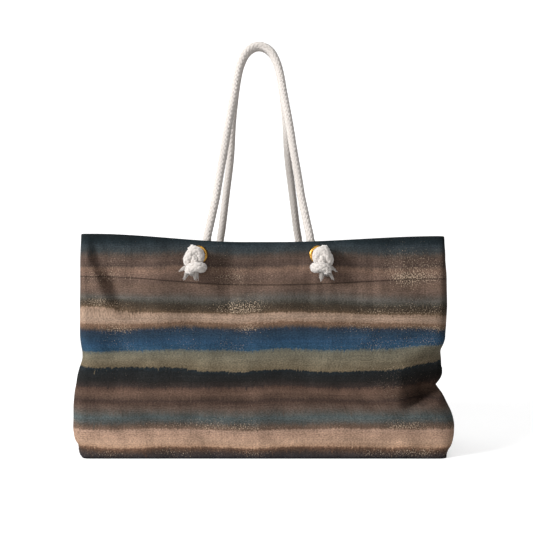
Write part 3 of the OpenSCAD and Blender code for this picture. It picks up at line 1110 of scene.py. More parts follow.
# %% Handles
BRAID_STEP = 1.9 * MM
rope_lines = {}
for name, leg, arch, turn in (("front", LEG_FRONT, ARCH_FRONT, -1), ("back", LEG_BACK, ARCH_BACK, 1)):
    line, length = smooth_line(whole_route(leg, arch, turn), BRAID_STEP)
    rope_lines[name] = (line, length)
    rope = finish_mesh("handle_rope_" + name, braid(line, length, ROPE_R), cotton_rope)
    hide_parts("rope_handle_" + name, "rope_leg_" + name + "_left", "rope_leg_" + name + "_right")
    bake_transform(rope)
    print(name, "rope, metres through the bag and over:", round(length, 3))

# %% [markdown]
# ## The bag's shell
# A bag is not five plates.  Its section changes all the way up: a rectangle at the base, corners
# that swell where the cloth is boxed above it, a crease where the cloth buckles, and side folds
# that turn inwards towards the rim.  Tables give the section at each height, wider on the right
# side, where the bag slumps.  A short cloth simulation then lets the canvas sag between its seams.

# %% Section of the bag
# Each row: height and distance from the middle, in millimetres
EDGE_RIGHT = [
    (0, 283), (6, 286), (12, 289), (20, 295), (32, 298), (50, 299), (62, 297), (72, 294), (83, 289), (95, 285),
    (101, 283), (106, 280), (112, 286), (120, 290), (134, 290), (146, 288), (153, 286), (160, 284), (167, 285),
    (180, 287), (200, 289), (230, 291), (280, 290), (310, 287), (336, 282),
]
EDGE_LEFT = [
    (0, 265), (8, 269), (18, 274), (30, 280), (45, 283), (80, 283), (100, 281), (113, 278), (125, 276),
    (137, 272), (143, 269), (149, 266), (160, 266), (172, 269), (185, 271), (300, 271), (336, 269),
]
SEAM_RIGHT = [
    (0, 285), (10, 291), (25, 296), (50, 298), (70, 294), (85, 285), (100, 275), (107, 270), (118, 275),
    (140, 272), (160, 263), (230, 252), (336, 247),
]
SEAM_LEFT = [
    (0, 268), (10, 277), (30, 289), (50, 296), (75, 296), (100, 286), (125, 270), (145, 258), (165, 254),
    (230, 250), (336, 246),
]
DEPTH = [(0, 91), (4, 93), (10, 94), (40, 95), (100, 93), (165, 87), (260, 80.5), (300, 80), (336, 80)]
CORNER_RIGHT = [
    (0, 12), (20, 22), (60, 27), (85, 34), (100, 50), (112, 56), (135, 46), (155, 30), (175, 24), (220, 22),
    (300, 18), (336, 12),
]
CORNER_LEFT = [(0, 12), (20, 22), (60, 26), (100, 24), (150, 17), (200, 16), (300, 12), (336, 9)]
GUSSET_STEPS = 16
CORNER_STEPS = 8
PANEL_STEPS = 54
ROWS = 80
COLS = 2 * (GUSSET_STEPS + CORNER_STEPS + PANEL_STEPS)


def curve(table, height):
    """A smooth curve through the rows of a table, at a height in metres."""
    rows = np.array(table, float) * MM
    fine = np.linspace(0, 0.34, 341)
    rough = np.pad(np.interp(fine, rows[:, 0], rows[:, 1]), 4, mode="edge")
    kernel = np.hanning(11)[1:-1]
    return float(np.interp(height, fine, np.convolve(rough, kernel / kernel.sum(), mode="valid")))


def rim_height(x):
    if x < 0:
        rise = RIM_RISE_LEFT * float(smooth_step((-0.020 - x) / 0.230))
    else:
        rise = RIM_RISE_RIGHT * float(smooth_step((x - 0.030) / 0.245))
    return RIM_Z - 1.7 * MM + rise


def quarter(height, side):
    """Points from a side seam (y = 0) round the corner to the middle of the front panel."""
    right = side > 0
    panel = curve(EDGE_RIGHT if right else EDGE_LEFT, height)
    seam = curve(SEAM_RIGHT if right else SEAM_LEFT, height)
    r = curve(CORNER_RIGHT if right else CORNER_LEFT, height)
    depth = curve(DEPTH, height)
    points = []
    for i in range(GUSSET_STEPS):
        t = i / GUSSET_STEPS
        points.append((seam + (panel - seam) * float(smooth_step(t)), -t * (depth - r)))
    for i in range(CORNER_STEPS):
        a = math.pi / 2 * i / CORNER_STEPS
        points.append((panel - r + r * math.cos(a), -(depth - r) - r * math.sin(a)))
    for i in range(PANEL_STEPS + 1):
        points.append(((panel - r) * (1 - i / PANEL_STEPS), -depth))
    return [(side * x, y) for x, y in points]


def wall_points(turn):
    """Half of the wall from the left seam to the right seam, as rows of points; turn is -1 in front."""
    rows = []
    for r in range(ROWS + 1):
        h = r / ROWS
        ring = quarter(h * 0.336, -1) + quarter(h * 0.336, 1)[-2::-1]
        rows.append([(x, -turn * y, rim_height(x) * h) for x, y in ring])
    return np.array(rows)


# %% Folds
# Each row: middle x and z, reach along x and z, lean, and depth inwards, all in millimetres
FRONT_FOLDS = [
    (-222, 268, 24, 74, -0.5, 18), (-250, 300, 18, 40, 0, 7), (-145, 262, 60, 84, 0, -9),
    (-46, 266, 36, 66, 0.1, 12), (30, 250, 50, 70, 0, -3), (150, 235, 40, 90, 0.15, 4),
    (215, 245, 46, 80, 0, -4), (-215, 160, 34, 60, 0.2, 5), (-110, 105, 110, 60, 0, -5),
    (200, 66, 80, 52, 0, -6), (60, 135, 110, 46, 0, 3), (20, 60, 120, 50, 0, -3),
]
BACK_FOLDS = [
    (210, 255, 30, 80, 0.4, 9), (-190, 250, 40, 80, -0.2, 6), (0, 180, 150, 90, 0, -4),
    (-210, 120, 50, 50, 0, 6), (190, 110, 60, 50, 0, -5), (0, 60, 160, 50, 0, -3),
]


def fold_depth(x, y, z, folds):
    """How far the cloth goes in towards the middle of the bag here, in metres."""
    x, z = x / MM, z / MM
    depth = 0.0
    for fx, fz, reach_x, reach_z, lean, size in folds:
        across = x - fx - lean * (z - fz)
        depth += size * float(smooth_step(1 - math.hypot(across / reach_x, (z - fz) / reach_z)))
    crease = z - 105 - (x - 283) * 0.40
    above = float(smooth_step((76 - crease) / 62) if crease > 0 else smooth_step(1 + crease / 12))
    if folds is FRONT_FOLDS:
        depth += 54 * above * float(smooth_step((x - 206) / 52))
        depth += 6 * float(bump(z - 160 - (x - 275) * 0.2, 0, 16) * smooth_step((x - 238) / 36))
    depth += 1.6 * noise.noise(Vector((x * 0.013, 3.0 if folds is FRONT_FOLDS else 9.0, z * 0.009)))
    to_grommet = math.hypot(abs(x) - GROMMET_X / MM, z - GROMMET_Z / MM)
    hold = smooth_step((to_grommet - 15) / 22) * smooth_step(z / 22) * smooth_step((330 - z) / 26)
    flat = smooth_step((abs(y) / MM - 10) / 75)
    return depth * float(hold * flat) * MM


def folded(wall, turn, folds):
    for row in wall:
        for point in row:
            point[1] -= turn * fold_depth(point[0], point[1], point[2], folds)
    wall[:, 0, 0] += 1.2 * MM
    wall[:, -1, 0] -= 1.2 * MM
    return wall


def inward_directions(wall, turn):
    """Unit directions into the bag, square to the plain section."""
    out = np.cross(np.gradient(wall, axis=0), np.gradient(wall, axis=1))
    out[:, 0, 1] = 0
    out[:, -1, 1] = 0
    out /= np.linalg.norm(out, axis=2)[:, :, None] + 1e-12
    return -out if out[ROWS // 2, COLS // 2, 1] * turn > 0 else out


INWARD = {-1: inward_directions(wall_points(-1), -1), 1: inward_directions(wall_points(1), 1)}
front_wall = folded(wall_points(-1), -1, FRONT_FOLDS)
back_wall = folded(wall_points(1), 1, BACK_FOLDS)
back_rest = back_wall.copy()
print("wall grids", front_wall.shape)

# %% Sag of the canvas
SAG_CAP = 3 * MM


def sag(wall, name):
    """A short cloth simulation of one half, held at its rim, base, seams and grommets."""
    bm = bmesh.new()
    grid = bmesh.ops.create_grid(bm, x_segments=COLS, y_segments=ROWS, size=1)
    place_of = []
    for v in grid["verts"]:
        c, r = round((v.co.x + 1) / 2 * COLS), round((v.co.y + 1) / 2 * ROWS)
        place_of.append((r, c))
        v.co = wall[r, c]
    mesh = bpy.data.meshes.new(name)
    bm.to_mesh(mesh)
    bm.free()
    piece = bpy.data.objects.new(name, mesh)
    scene.collection.objects.link(piece)
    held = piece.vertex_groups.new(name="held")
    for index, (r, c) in enumerate(place_of):
        x, y, z = wall[r, c]
        near = math.hypot(abs(x) - GROMMET_X, z - GROMMET_Z) < 0.020
        edge = min(r, ROWS - r, c, COLS - c)
        held.add([index], 1.0 if edge == 0 or near else max(0.0, 0.4 - 0.08 * edge), "REPLACE")
    cloth = piece.modifiers.new("sag", "CLOTH")
    cloth.settings.quality = 4
    cloth.settings.mass = 0.35
    cloth.settings.tension_stiffness = 15
    cloth.settings.compression_stiffness = 15
    cloth.settings.shear_stiffness = 8
    cloth.settings.bending_stiffness = 2
    cloth.settings.shrink_min = -0.010
    cloth.settings.shrink_max = -0.010
    cloth.settings.vertex_group_mass = "held"
    cloth.collision_settings.use_self_collision = False
    cloth.collision_settings.use_collision = False
    cloth.point_cache.frame_start = 1
    cloth.point_cache.frame_end = 18
    for number in range(1, 18):
        scene.frame_set(number)
    settled = piece.evaluated_get(bpy.context.evaluated_depsgraph_get()).data
    moved = wall.copy()
    for index, (r, c) in enumerate(place_of):
        moved[r, c] = settled.vertices[index].co
    scene.frame_set(1)
    bpy.data.objects.remove(piece)
    bpy.data.meshes.remove(mesh)
    change = moved - wall
    size = np.linalg.norm(change, axis=2)
    print(name, "largest sag in millimetres", round(float(size.max() / MM), 1))
    return wall + change * (np.minimum(size, SAG_CAP) / (size + 1e-9))[:, :, None]


front_wall = sag(front_wall, "sag_front")
back_wall = sag(back_wall, "sag_back")
pocket_hold = smooth_step((np.abs(back_rest[:, :, 0]) - 0.118) / 0.03)
pocket_hold = np.maximum(pocket_hold, smooth_step((0.100 - back_rest[:, :, 2]) / 0.03))[:, :, None]
back_wall = back_rest + (back_wall - back_rest) * pocket_hold

# %% [markdown]
# ## Layers cut from the wall
# Canvas, facing and lining all follow the same wall, each a little further in.  A layer is a grid
# laid on the wall, moved inwards by its depth and given round holes where the grommets pass.  A
# second copy of its faces, moved in along the vertex normals, then gives it its thickness.  The
# inward directions come from the plain section, before any fold, so the layers stay in order where
# the canvas is sharply folded; at the pinch on the right the lining keeps further away.  The UV
# map is in metres of cloth, and an attribute keeps the distance below the rim for the painted shade
# along the stitches.


# %% Layer builder
def arc_lengths(wall):
    """Metres along the cloth at mid height, 0 at the middle of the panel."""
    row = wall[ROWS // 2]
    along = np.concatenate([[0], np.cumsum(np.linalg.norm(np.diff(row, axis=0), axis=1))])
    return along - along[COLS // 2]


# Where the painted stripes are not level, in metres: how far they shift, the x where the shift
# starts, how much further on it is full, and the middle and half of the height that it covers
UNLEVEL = [
    (0.012, 0.19, 0.08, 0.150, 0.050),
    (0.012, -0.09, -0.17, 0.228, 0.022),
    (0.007, -0.04, -0.12, 0.139, 0.022),
]


def print_height(point):
    """Height on the print of a point of the cloth."""
    x, y, z = point
    shifts = [shift * smooth_step((x - start) / run) * bump(z, middle, half)
              for shift, start, run, middle, half in UNLEVEL]
    return z - float(sum(shifts))


# The pinch on the right of the front: its middle height and reach, where it starts and over how
# much x it grows, and how far the inner layers keep clear of it
CREASE_Z = 0.118
CREASE_REACH = 0.085
CREASE_START = 0.175
CREASE_RUN = 0.060
CREASE_CLEARANCE = 22 * MM
# The canvas turns over the rim in a half circle
ROLL_R = 1.75 * MM
ROLL_STEPS = 6


def clear_of_crease(wall, turn):
    """Extra metres inwards for the inner layers where the front canvas is pinched."""
    if turn > 0:
        return 0.0
    across = smooth_step((wall[:, :, 0] - CREASE_START) / CREASE_RUN)
    return (CREASE_CLEARANCE * across * bump(wall[:, :, 2], CREASE_Z, CREASE_REACH))[:, :, None]


def thicken(bm, thickness):
    """Give a layer its thickness: a second copy of its faces, moved in along the vertex normals."""
    bm.normal_update()
    normals = {v: v.normal.copy() for v in bm.verts}
    front = bm.faces[:]
    grown = bmesh.ops.extrude_face_region(bm, geom=front, use_keep_orig=True)["geom"]
    by_place = {tuple(round(c, 6) for c in v.co): n for v, n in normals.items()}
    for v in grown:
        if isinstance(v, bmesh.types.BMVert):
            v.co -= by_place[tuple(round(c, 6) for c in v.co)] * thickness
    bmesh.ops.recalc_face_normals(bm, faces=bm.faces[:])
    if sum(f.normal.dot(normals[f.verts[0]]) for f in front) < 0:
        bmesh.ops.reverse_faces(bm, faces=bm.faces[:])


def layer(wall, turn, depth, thickness, rows, cols=(0, COLS), holes=False, rolled=False):
    """A cloth layer as a bmesh; rolled carries the cloth over the rim."""
    inward = INWARD[turn]
    lengths = arc_lengths(wall)
    low, high = rows
    left, right = cols
    depth = depth + (clear_of_crease(wall, turn) if depth else 0)
    points = list((wall + inward * depth)[low:high + 1])
    heights = [[print_height(p) for p in row] for row in wall[low:high + 1]]
    if rolled:
        for k in range(1, ROLL_STEPS + 1):
            a = math.pi * k / ROLL_STEPS
            over = inward[ROWS] * ROLL_R * (1 - math.cos(a))
            points.append(wall[ROWS] + over + np.array((0, 0, ROLL_R * math.sin(a))))
            heights.append([h + ROLL_R * a for h in heights[-k]])
    points = np.array(points)
    count = len(points) - 1
    bm = bmesh.new()
    uv_layer = bm.loops.layers.uv.new("cloth")
    below = bm.verts.layers.float.new("below_rim")
    grid = bmesh.ops.create_grid(bm, x_segments=right - left, y_segments=count, size=1)
    for v in grid["verts"]:
        c = left + round((v.co.x + 1) / 2 * (right - left))
        r = round((v.co.y + 1) / 2 * count)
        v.co = points[r, c]
        v[below] = wall[ROWS, c][2] - points[r, c][2] if r + low <= ROWS else 0
        for loop in v.link_loops:
            loop[uv_layer].uv = (lengths[c], heights[r][c])
    if holes:
        punch(bm)
    if sum(f.normal.y * f.calc_area() for f in bm.faces) * turn < 0:
        bmesh.ops.reverse_faces(bm, faces=bm.faces[:])
    thicken(bm, thickness)
    return bm


def punch(bm):
    """Cut the two grommet holes and draw the cut edge onto a circle."""
    radius = BORE_R + 1.1 * MM
    for side in (-1, 1):
        def away(co):
            return math.hypot(co.x - side * GROMMET_X, co.z - GROMMET_Z)
        gone = [f for f in bm.faces if away(f.calc_center_median()) < radius + 0.4 * MM]
        bmesh.ops.delete(bm, geom=gone, context="FACES")
        for v in bm.verts:
            if v.is_boundary and away(v.co) < radius + 5 * MM:
                shift = radius / away(v.co)
                v.co.x = side * GROMMET_X + (v.co.x - side * GROMMET_X) * shift
                v.co.z = GROMMET_Z + (v.co.z - GROMMET_Z) * shift


# %% [markdown]
# ## Canvas, facing and lining
# The canvas rolls over at the rim and continues inside as the facing, which is sewn down a hand's
# width below the edge.  The lining starts at that row of stitches and goes down to the floor.  At
# each side seam the two panels' allowances lie pressed open between canvas and lining.

# %% Cloth layers
FACING_ROW = round((1 - FACING_H / 0.330) * ROWS)
SEAM_COLS = 3
halves = (("front", front_wall, -1), ("back", back_wall, 1))
for name, wall, turn in halves:
    outer = finish_mesh("canvas_" + name,
                        layer(wall, turn, 0, CANVAS_T, (0, ROWS), holes=True, rolled=True), canvas)
    place(outer, "bag", "printed_canvas", "outer_" + name)
    facing = finish_mesh("rim_facing_" + name,
                         layer(wall, turn, FACING_DEPTH, CANVAS_T, (FACING_ROW, ROWS), holes=True), canvas)
    place(facing, "bag", "printed_canvas", "facing_" + name)
    lining = finish_mesh("lining_wall_" + name,
                         layer(wall, turn, LINING_DEPTH, LINING_T, (2, FACING_ROW + 1)), lining_cotton)
    place(lining, "bag", "lining_cotton", "lining_" + name)
for side, cols in (("left", (0, SEAM_COLS)), ("right", (COLS - SEAM_COLS, COLS))):
    bm = bmesh.new()
    for name, wall, turn in halves:
        add_part(bm, layer(wall, turn, FACING_DEPTH, 1.1 * MM, (3, FACING_ROW - 1), cols=cols))
    place(finish_mesh("seam_allowance_" + side, bm, canvas), "bag", "printed_canvas", "side_seam_" + side)

# %% [markdown]
# ## Floor of the bag
# Three flat pieces lie on each other: the canvas bottom, a stiffening board and the cotton floor.
# The canvas bottom and the cotton floor are each a filled circle of points drawn out to the ring of the
# wall, a little smaller than it; the board is a block the size of its imported box.


# %% Bottom pieces
def floor_piece(name, row, inset, low, thickness, material):
    ring = np.concatenate([front_wall[row][:-1], back_wall[row][::-1][:-1]])
    bm = bmesh.new()
    uv_layer = bm.loops.layers.uv.new("cloth")
    bmesh.ops.create_circle(bm, segments=len(ring), radius=1, cap_ends=True)
    bm.verts.ensure_lookup_table()
    for v, point in zip(bm.verts, ring):
        v.co = (point[0] * (1 - inset / 0.280), point[1] * (1 - inset / 0.090), low + thickness)
    if bm.faces[:][0].normal.z < 0:
        bmesh.ops.reverse_faces(bm, faces=bm.faces[:])
    for loop in bm.faces[:][0].loops:
        loop[uv_layer].uv = (loop.vert.co.x, 0.006 + loop.vert.co.y * 0.02)
    bmesh.ops.inset_region(bm, faces=bm.faces[:], thickness=4 * MM)
    bmesh.ops.solidify(bm, geom=bm.faces[:], thickness=thickness)
    return finish_mesh(name, bm, material, smooth=False)


board_low, board_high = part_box("base_board")
inner_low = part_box("lining_base")[0]
bottom = floor_piece("canvas_bottom", 0, 2.2 * MM, 0.0, 1.6 * MM, canvas)
place(bottom, "bag", "printed_canvas", "outer_base")
lining_floor = floor_piece("lining_floor", 2, 6.5 * MM, inner_low[2], LINING_T, lining_cotton)
place(lining_floor, "bag", "lining_cotton", "lining_base")
bm = bmesh.new()
block(bm, board_low, board_high, 0.8 * MM)
place(finish_mesh("stiffening_board", bm, board_black), "bag", "base_board", "base_board")

# %% [markdown]
# ## The row of stitches
# One long machine stitch after another holds the facing.  Each stitch is a small flattened bead of
# thread laid along the cloth, sunk a little where it enters the canvas.

# %% Hem stitches
STITCH_PITCH = 3.6 * MM
STITCH_SINK = 0.2 * MM
for name, wall, turn in halves:
    line = []
    for c in range(1, COLS):
        column = wall[:, c]
        z = column[ROWS][2] - HEM_BELOW_RIM
        r = float(np.interp(z, column[:, 2], np.arange(ROWS + 1)))
        low = int(r)
        on_cloth = column[low] * (1 - r + low) + column[low + 1] * (r - low)
        line.append(on_cloth - INWARD[turn][low, c] * STITCH_SINK)
    line = np.array(line)
    along = np.concatenate([[0], np.cumsum(np.linalg.norm(np.diff(line, axis=0), axis=1))])
    starts = np.arange(STITCH_PITCH, along[-1] - STITCH_PITCH, STITCH_PITCH)
    bm = bmesh.new()
    for start in starts:
        here = Vector([np.interp(start, along, line[:, k]) for k in range(3)])
        there = Vector([np.interp(start + STITCH_PITCH * 0.8, along, line[:, k]) for k in range(3)])
        turn_to = (there - here).to_track_quat("X", "Z").to_matrix().to_4x4()
        size = Matrix.Diagonal(((there - here).length / 2, 0.35 * MM, 0.4 * MM, 1))
        bmesh.ops.create_uvsphere(bm, u_segments=6, v_segments=5, radius=1,
                                  matrix=Matrix.Translation((here + there) / 2) @ turn_to @ size)
    place(finish_mesh("hem_stitches_" + name, bm, thread_cloth), "bag", "thread", "hem_stitching_" + name)

# %% [markdown]
# ## Grommets and washers
# A grommet is a rolled brass flange with a barrel that goes through both layers of canvas and is
# clenched over a washer inside.  Both are turned on a lathe profile about the rope's axis.

# %% Grommets
flange_mid = (BORE_R + GROMMET_R) / 2
flange_half = (GROMMET_R - BORE_R) / 2
grommet_profile = [(BORE_R, -5.0 * MM)]
grommet_profile += [(flange_mid - flange_half * math.cos(a), 0.15 * MM + 2.1 * MM * math.sin(a) ** 0.8)
                    for a in np.linspace(0.05, math.pi - 0.02, 11)]
grommet_profile += [(BORE_R + 1.0 * MM, 0.1 * MM), (BORE_R + 1.0 * MM, -5.0 * MM)]
washer_profile = [
    (BORE_R + 1.1 * MM, -3.6 * MM), (GROMMET_R - 0.9 * MM, -3.6 * MM), (GROMMET_R - 0.5 * MM, -3.9 * MM),
    (GROMMET_R - 0.5 * MM, -4.4 * MM), (GROMMET_R - 1.0 * MM, -4.7 * MM), (BORE_R + 1.1 * MM, -4.7 * MM),
]
for name, wall, turn in halves:
    for side, sign in (("left", -1), ("right", 1)):
        # Left and right are the wearer's: the back panel is the front one turned round
        x = sign * GROMMET_X * -turn
        centre = (x, turn * RIM_HALF_DEPTH, GROMMET_Z)
        bm = bmesh.new()
        lathe(bm, grommet_profile, centre, turn)
        place(finish_mesh("brass_grommet_" + name + "_" + side, bm, grommet_brass), "bag", "brass",
              "grommet_" + name + "_" + side)
        bm = bmesh.new()
        lathe(bm, washer_profile, centre, turn)
        place(finish_mesh("brass_washer_" + name + "_" + side, bm, grommet_brass), "bag", "brass",
              "washer_" + name + "_" + side)

# %% [markdown]
# ## Stop knots
# Outside each grommet the rope goes over the top, round its own end and across in front, and its
# end is left to fray.  The knot is the same braid on a tighter route, with a short length of it
# inside the turns so that no gap shows between them; the frayed end is four tufts of thin cotton
# yarns that spread as they leave the last turn.

# %% Knots
# Millimetres from the grommet's centre: towards the middle of the bag, outward, and up
KNOT_ROUTE = [
    (0, 3, 0), (0, 8, -2), (1, 12.5, -7.5), (2.5, 16.5, -5), (2.5, 18.5, 1), (-2, 20, 4.8), (-8, 20.5, 4),
    (-11.8, 19.5, -1.5), (-15, 15.5, -8.5), (-11.5, 11, -15), (-4, 9.5, -19), (3, 12, -20.5),
    (6.5, 16, -19.5), (3.5, 21, -19), (-3, 22.5, -18.5), (-10, 20.5, -20), (-13, 17.5, -25),
]
KNOT_CORE = [(-9, 8, 8), (-7, 13.5, 4.5), (-5.5, 18, 0), (-4.5, 18.5, -6), (-4, 15, -11), (-4, 9, -15)]
# Each row: start, end, how many yarns, radius at the start and at the end
TUFTS = [((-12, 18, -20), (-21, 14, -37), 22, 4.0, 2.6), ((-4, 19, -21), (-3, 13, -39), 26, 4.2, 3.2),
         ((-16, 17, -17), (-26, 15, -25), 12, 2.4, 3.4), ((-8, 18, -22), (-11, 13, -32), 14, 3.4, 2.6)]
KNOT_R = 7.6 * MM
KNOT_STEP = 1.7 * MM


def yarn(bm, start, end, thick):
    """One frayed yarn: a thin tapered tube that bends a little."""
    part = bmesh.new()
    axis = end - start
    bmesh.ops.create_cone(part, segments=5, radius1=thick, radius2=thick * 0.35, depth=axis.length,
                          cap_ends=True)
    lengthwise = [e for e in part.edges if abs((e.verts[0].co - e.verts[1].co).z) > 1e-4]
    bmesh.ops.subdivide_edges(part, edges=lengthwise, cuts=3)
    sway = Vector((random.uniform(-1, 1), random.uniform(-1, 1), 0)) * axis.length * 0.10
    for v in part.verts:
        t = v.co.z / axis.length + 0.5
        v.co += sway * math.sin(math.pi * t)
    aim = axis.to_track_quat("Z", "Y").to_matrix().to_4x4()
    bmesh.ops.transform(part, matrix=Matrix.Translation((start + end) / 2) @ aim, verts=part.verts)
    add_part(bm, part)


def knot(name, x, turn):
    toward = -1 if x > 0 else 1

    def at(point):
        outward = turn * (RIM_HALF_DEPTH + point[1] * MM)
        return Vector((x + toward * point[0] * MM, outward, GROMMET_Z + point[2] * MM))

    line, length = smooth_line([at(p) for p in KNOT_ROUTE], KNOT_STEP)
    bm = braid(line, length, KNOT_R)
    core_line, core_length = smooth_line([at(p) for p in KNOT_CORE], KNOT_STEP)
    add_part(bm, braid(core_line, core_length, KNOT_R))
    lift_layer = bm.verts.layers.float.get("lift")
    for start, end, count, spread_start, spread_end in TUFTS:
        for number in range(count):
            a = random.uniform(0, 2 * math.pi)
            far = math.sqrt(random.uniform(0, 1))
            offset = Vector((math.cos(a), 0.7 * math.sin(a), 0.5 * math.sin(a))) * far
            reach = random.uniform(0.72, 1.08)
            low = at(start) + offset * spread_start * MM
            high = at(start).lerp(at(end), reach) + offset * spread_end * MM
            yarn(bm, low, high, random.uniform(0.75, 1.25) * MM)
    # Points left at 0, chiefly the frayed yarns, get a random middle tone of the painted shade
    for v in bm.verts:
        if v[lift_layer] == 0:
            v[lift_layer] = random.uniform(0.45, 0.8)
    return finish_mesh(name, bm, cotton_rope)


for name, wall, turn in halves:
    for side, sign in (("left", -1), ("right", 1)):
        random.seed(name + side)
        x = sign * GROMMET_X * -turn
        place(knot("stop_knot_" + name + "_" + side, x, turn), "bag", "cotton_rope",
              "knot_" + name + "_" + side)

# %% [markdown]
# ## The zip pocket
# A patch pocket on the back lining, with a zip along its top edge: two woven tapes, a coil on
# each, a slider with a bail, and a pull that hangs from it.  All of it leans with the lining.

# %% Pocket and zip
POCKET_TILT = math.radians(4.2)
on_pocket = Matrix.Translation((0, 0.0776, 0.236)) @ Matrix.Rotation(POCKET_TILT, 4, "X")
POCKET_HALF = 0.115
ZIP_HALF = 0.100

bm = bmesh.new()
bmesh.ops.create_grid(bm, x_segments=46, y_segments=24, size=1)
for v in bm.verts:
    u, w = v.co.x, v.co.y
    belly = 1.4 * MM * (1 - u * u) * (1 - w * w) + 0.25 * MM * math.sin(u * 9 + w * 4)
    v.co = (u * POCKET_HALF, -0.9 * MM - belly * 0.6, -0.071 + 0.060 * w)
bmesh.ops.solidify(bm, geom=bm.faces[:], thickness=0.5 * MM)
bmesh.ops.recalc_face_normals(bm, faces=bm.faces[:])
for z in (-0.014, -0.128):
    block(bm, (-POCKET_HALF, -1.7 * MM, z - 2.5 * MM), (POCKET_HALF, -0.6 * MM, z + 2.5 * MM), 0.4 * MM)
bmesh.ops.transform(bm, matrix=on_pocket, verts=bm.verts)
pocket = place(finish_mesh("pocket_patch", bm, lining_cotton), "bag", "lining_cotton", "pocket_panel")

for side, sign in (("upper", 1), ("lower", -1)):
    low = 2.0 if sign > 0 else -13.0
    bm = bmesh.new()
    block(bm, (-POCKET_HALF, -2.2 * MM, low * MM), (POCKET_HALF, -1.6 * MM, (low + 11) * MM), 0.15 * MM,
          on_pocket)
    place(finish_mesh("woven_tape_" + side, bm, zip_tape_cloth), "bag", "zip_tape", "zip_tape_" + side)
    bm = bmesh.new()
    pitch = 1.6 * MM
    for number in range(int(2 * ZIP_HALF / pitch)):
        x = -ZIP_HALF + (number + (0.5 if sign > 0 else 1.0)) * pitch
        inner, outer = sign * 0.45 * MM, sign * 2.8 * MM
        block(bm, (x - 0.5 * MM, -3.5 * MM, min(inner, outer)), (x + 0.5 * MM, -2.25 * MM, max(inner, outer)),
              0.25 * MM)
    bmesh.ops.transform(bm, matrix=on_pocket, verts=bm.verts)
    place(finish_mesh("zip_coil_" + side, bm, coil_nylon), "bag", "zip_coil", "zip_teeth_" + side)

bm = bmesh.new()
for x in (-ZIP_HALF - 2 * MM, ZIP_HALF + 2 * MM):
    block(bm, (x - 1.5 * MM, -3.65 * MM, -3.3 * MM), (x + 1.5 * MM, -2.25 * MM, 3.3 * MM), 0.4 * MM,
          on_pocket)
place(finish_mesh("zip_end_stops", bm, zip_brass), "bag", "zip_metal", "zip_stops")

# %% Slider and pull
slider_low, slider_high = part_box("zip_slider")
slider_x = (slider_low[0] + slider_high[0]) / 2
bm = bmesh.new()
block(bm, (-5.5 * MM, -4.7 * MM, -4.6 * MM), (5.5 * MM, -3.8 * MM, 4.6 * MM), 0.4 * MM)
block(bm, (-5.5 * MM, -1.3 * MM, -4.6 * MM), (5.5 * MM, -0.6 * MM, 4.6 * MM), 0.3 * MM)
block(bm, (-3 * MM, -4.2 * MM, -0.25 * MM), (3 * MM, -1.1 * MM, 0.25 * MM), 0.1 * MM)
for x in (-4.6, 4.6):
    block(bm, ((x - 0.5) * MM, -8.0 * MM, -1.0 * MM), ((x + 0.5) * MM, -4.2 * MM, 1.0 * MM), 0.35 * MM)
bar = Matrix.Translation((0, -7.0 * MM, 0)) @ Matrix.Rotation(math.radians(90), 4, "Y")
bmesh.ops.create_cone(bm, segments=20, radius1=0.8 * MM, radius2=0.8 * MM, depth=9.4 * MM, cap_ends=True,
                      matrix=bar)
bmesh.ops.transform(bm, matrix=Matrix.Translation((slider_x, 0, 0)) @ on_pocket, verts=bm.verts)
place(finish_mesh("zip_runner", bm, zip_brass), "zip_slider", "zip_metal", "zip_slider")

bm = bmesh.new()
ring = bmesh.new()
eye = [(1.2, -3.2), (1.2, 3.2), (1.5, 3.5), (1.8, 3.5), (2.1, 3.2), (2.1, -3.2), (1.8, -3.5), (1.5, -3.5)]
lathe(ring, [(r * MM, d * MM) for r, d in eye], (0, 0, 0), 1, steps=32)
bmesh.ops.rotate(ring, cent=(0, 0, 0), matrix=Matrix.Rotation(math.radians(90), 3, "Z"), verts=ring.verts)
add_part(bm, ring)
block(bm, (-3.5 * MM, -0.7 * MM, -26 * MM), (3.5 * MM, 0.7 * MM, -1.7 * MM), 0.45 * MM)
bail = Matrix.Translation((slider_x, 0, 0)) @ on_pocket @ Vector((0, -7.0 * MM, 0))
bmesh.ops.translate(bm, vec=bail, verts=bm.verts)
place(finish_mesh("zip_tab", bm, zip_brass), "zip_pull", "zip_metal", "zip_pull")

# %% [markdown]
# ## Floor of the studio and light
# A pale floor that sweeps up behind the bag.  The key light stands low on the left, so that every
# fold of the cloth throws a soft shade to its right; a weaker light fills from the front.

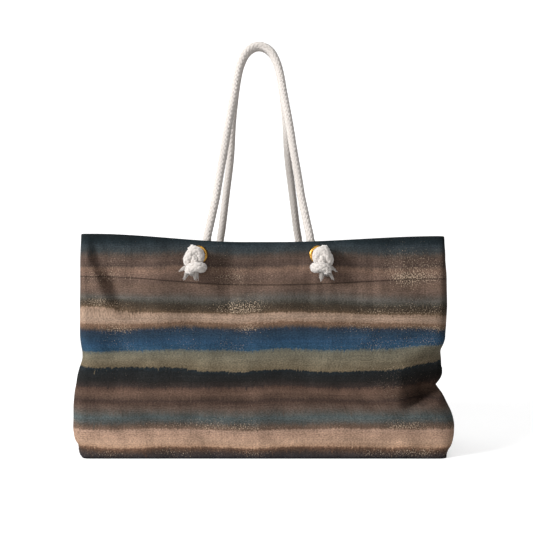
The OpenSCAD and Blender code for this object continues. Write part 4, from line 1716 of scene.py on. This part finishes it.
# %% Studio
SWEEP_HALF = 6.0
bm = bmesh.new()
left_end = bm.verts.new((-SWEEP_HALF, -4.0, 0))
right_end = bm.verts.new((SWEEP_HALF, -4.0, 0))
edge = bm.edges.new((left_end, right_end))
profile = [(1.6, 0.0)] + [(1.6 + 1.2 * math.sin(a), 1.2 - 1.2 * math.cos(a))
                          for a in np.linspace(0.15, math.pi / 2, 9)] + [(2.8, 5.0)]
for y, z in profile:
    grown = bmesh.ops.extrude_edge_only(bm, edges=[edge])["geom"]
    edge = [g for g in grown if isinstance(g, bmesh.types.BMEdge)][0]
    for v in edge.verts:
        v.co.y, v.co.z = y, z
bmesh.ops.recalc_face_normals(bm, faces=bm.faces[:])
if sum(f.normal.z * f.calc_area() for f in bm.faces) < 0:
    bmesh.ops.reverse_faces(bm, faces=bm.faces[:])
backdrop_paper, tree, shader = new_material("backdrop_paper", 0.9, (245, 245, 245))
new, link = tree.nodes.new, tree.links.new
shader.inputs["Base Color"].default_value = (0.6, 0.6, 0.6, 1)
shader.inputs["Emission Color"].default_value = (1, 1, 1, 1)
seen = new("ShaderNodeLightPath")
seen.label = "what the camera sees"
seen.location = (300, -300)
glow = new("ShaderNodeMath")
glow.label = "paper lit from behind, for the camera only"
glow.operation = "MULTIPLY"
glow.location = (600, -300)
glow.inputs[1].default_value = 0.62
link(seen.outputs["Is Camera Ray"], glow.inputs[0])
link(glow.outputs["Value"], shader.inputs["Emission Strength"])
backdrop = finish_mesh("studio_sweep", bm, backdrop_paper)

world = bpy.data.worlds.new("studio")
scene.world = world
world.use_nodes = True
world.node_tree.nodes["Background"].inputs["Color"].default_value = (1, 1, 1, 1)
world.node_tree.nodes["Background"].inputs["Strength"].default_value = 0.13


def soft_light(name, place_at, look_at, size, watts):
    data = bpy.data.lights.new(name, "AREA")
    data.shape = "RECTANGLE"
    data.size, data.size_y = size
    data.energy = watts
    lamp = bpy.data.objects.new(name, data)
    scene.collection.objects.link(lamp)
    lamp.location = place_at
    lamp.rotation_euler = (Vector(look_at) - Vector(place_at)).to_track_quat("-Z", "Y").to_euler()
    return lamp


soft_light("key_left", (-3.4, -2.3, 1.8), (0, 0, 0.2), (1.1, 1.1), 240)
soft_light("top", (0, 0.6, 2.6), (0, 0.3, 0), (2.5, 2.5), 34)
soft_light("front_fill", (-0.3, -2.8, 0.9), (0, 0, 0.25), (1.6, 1.6), 17)
print("studio ready")
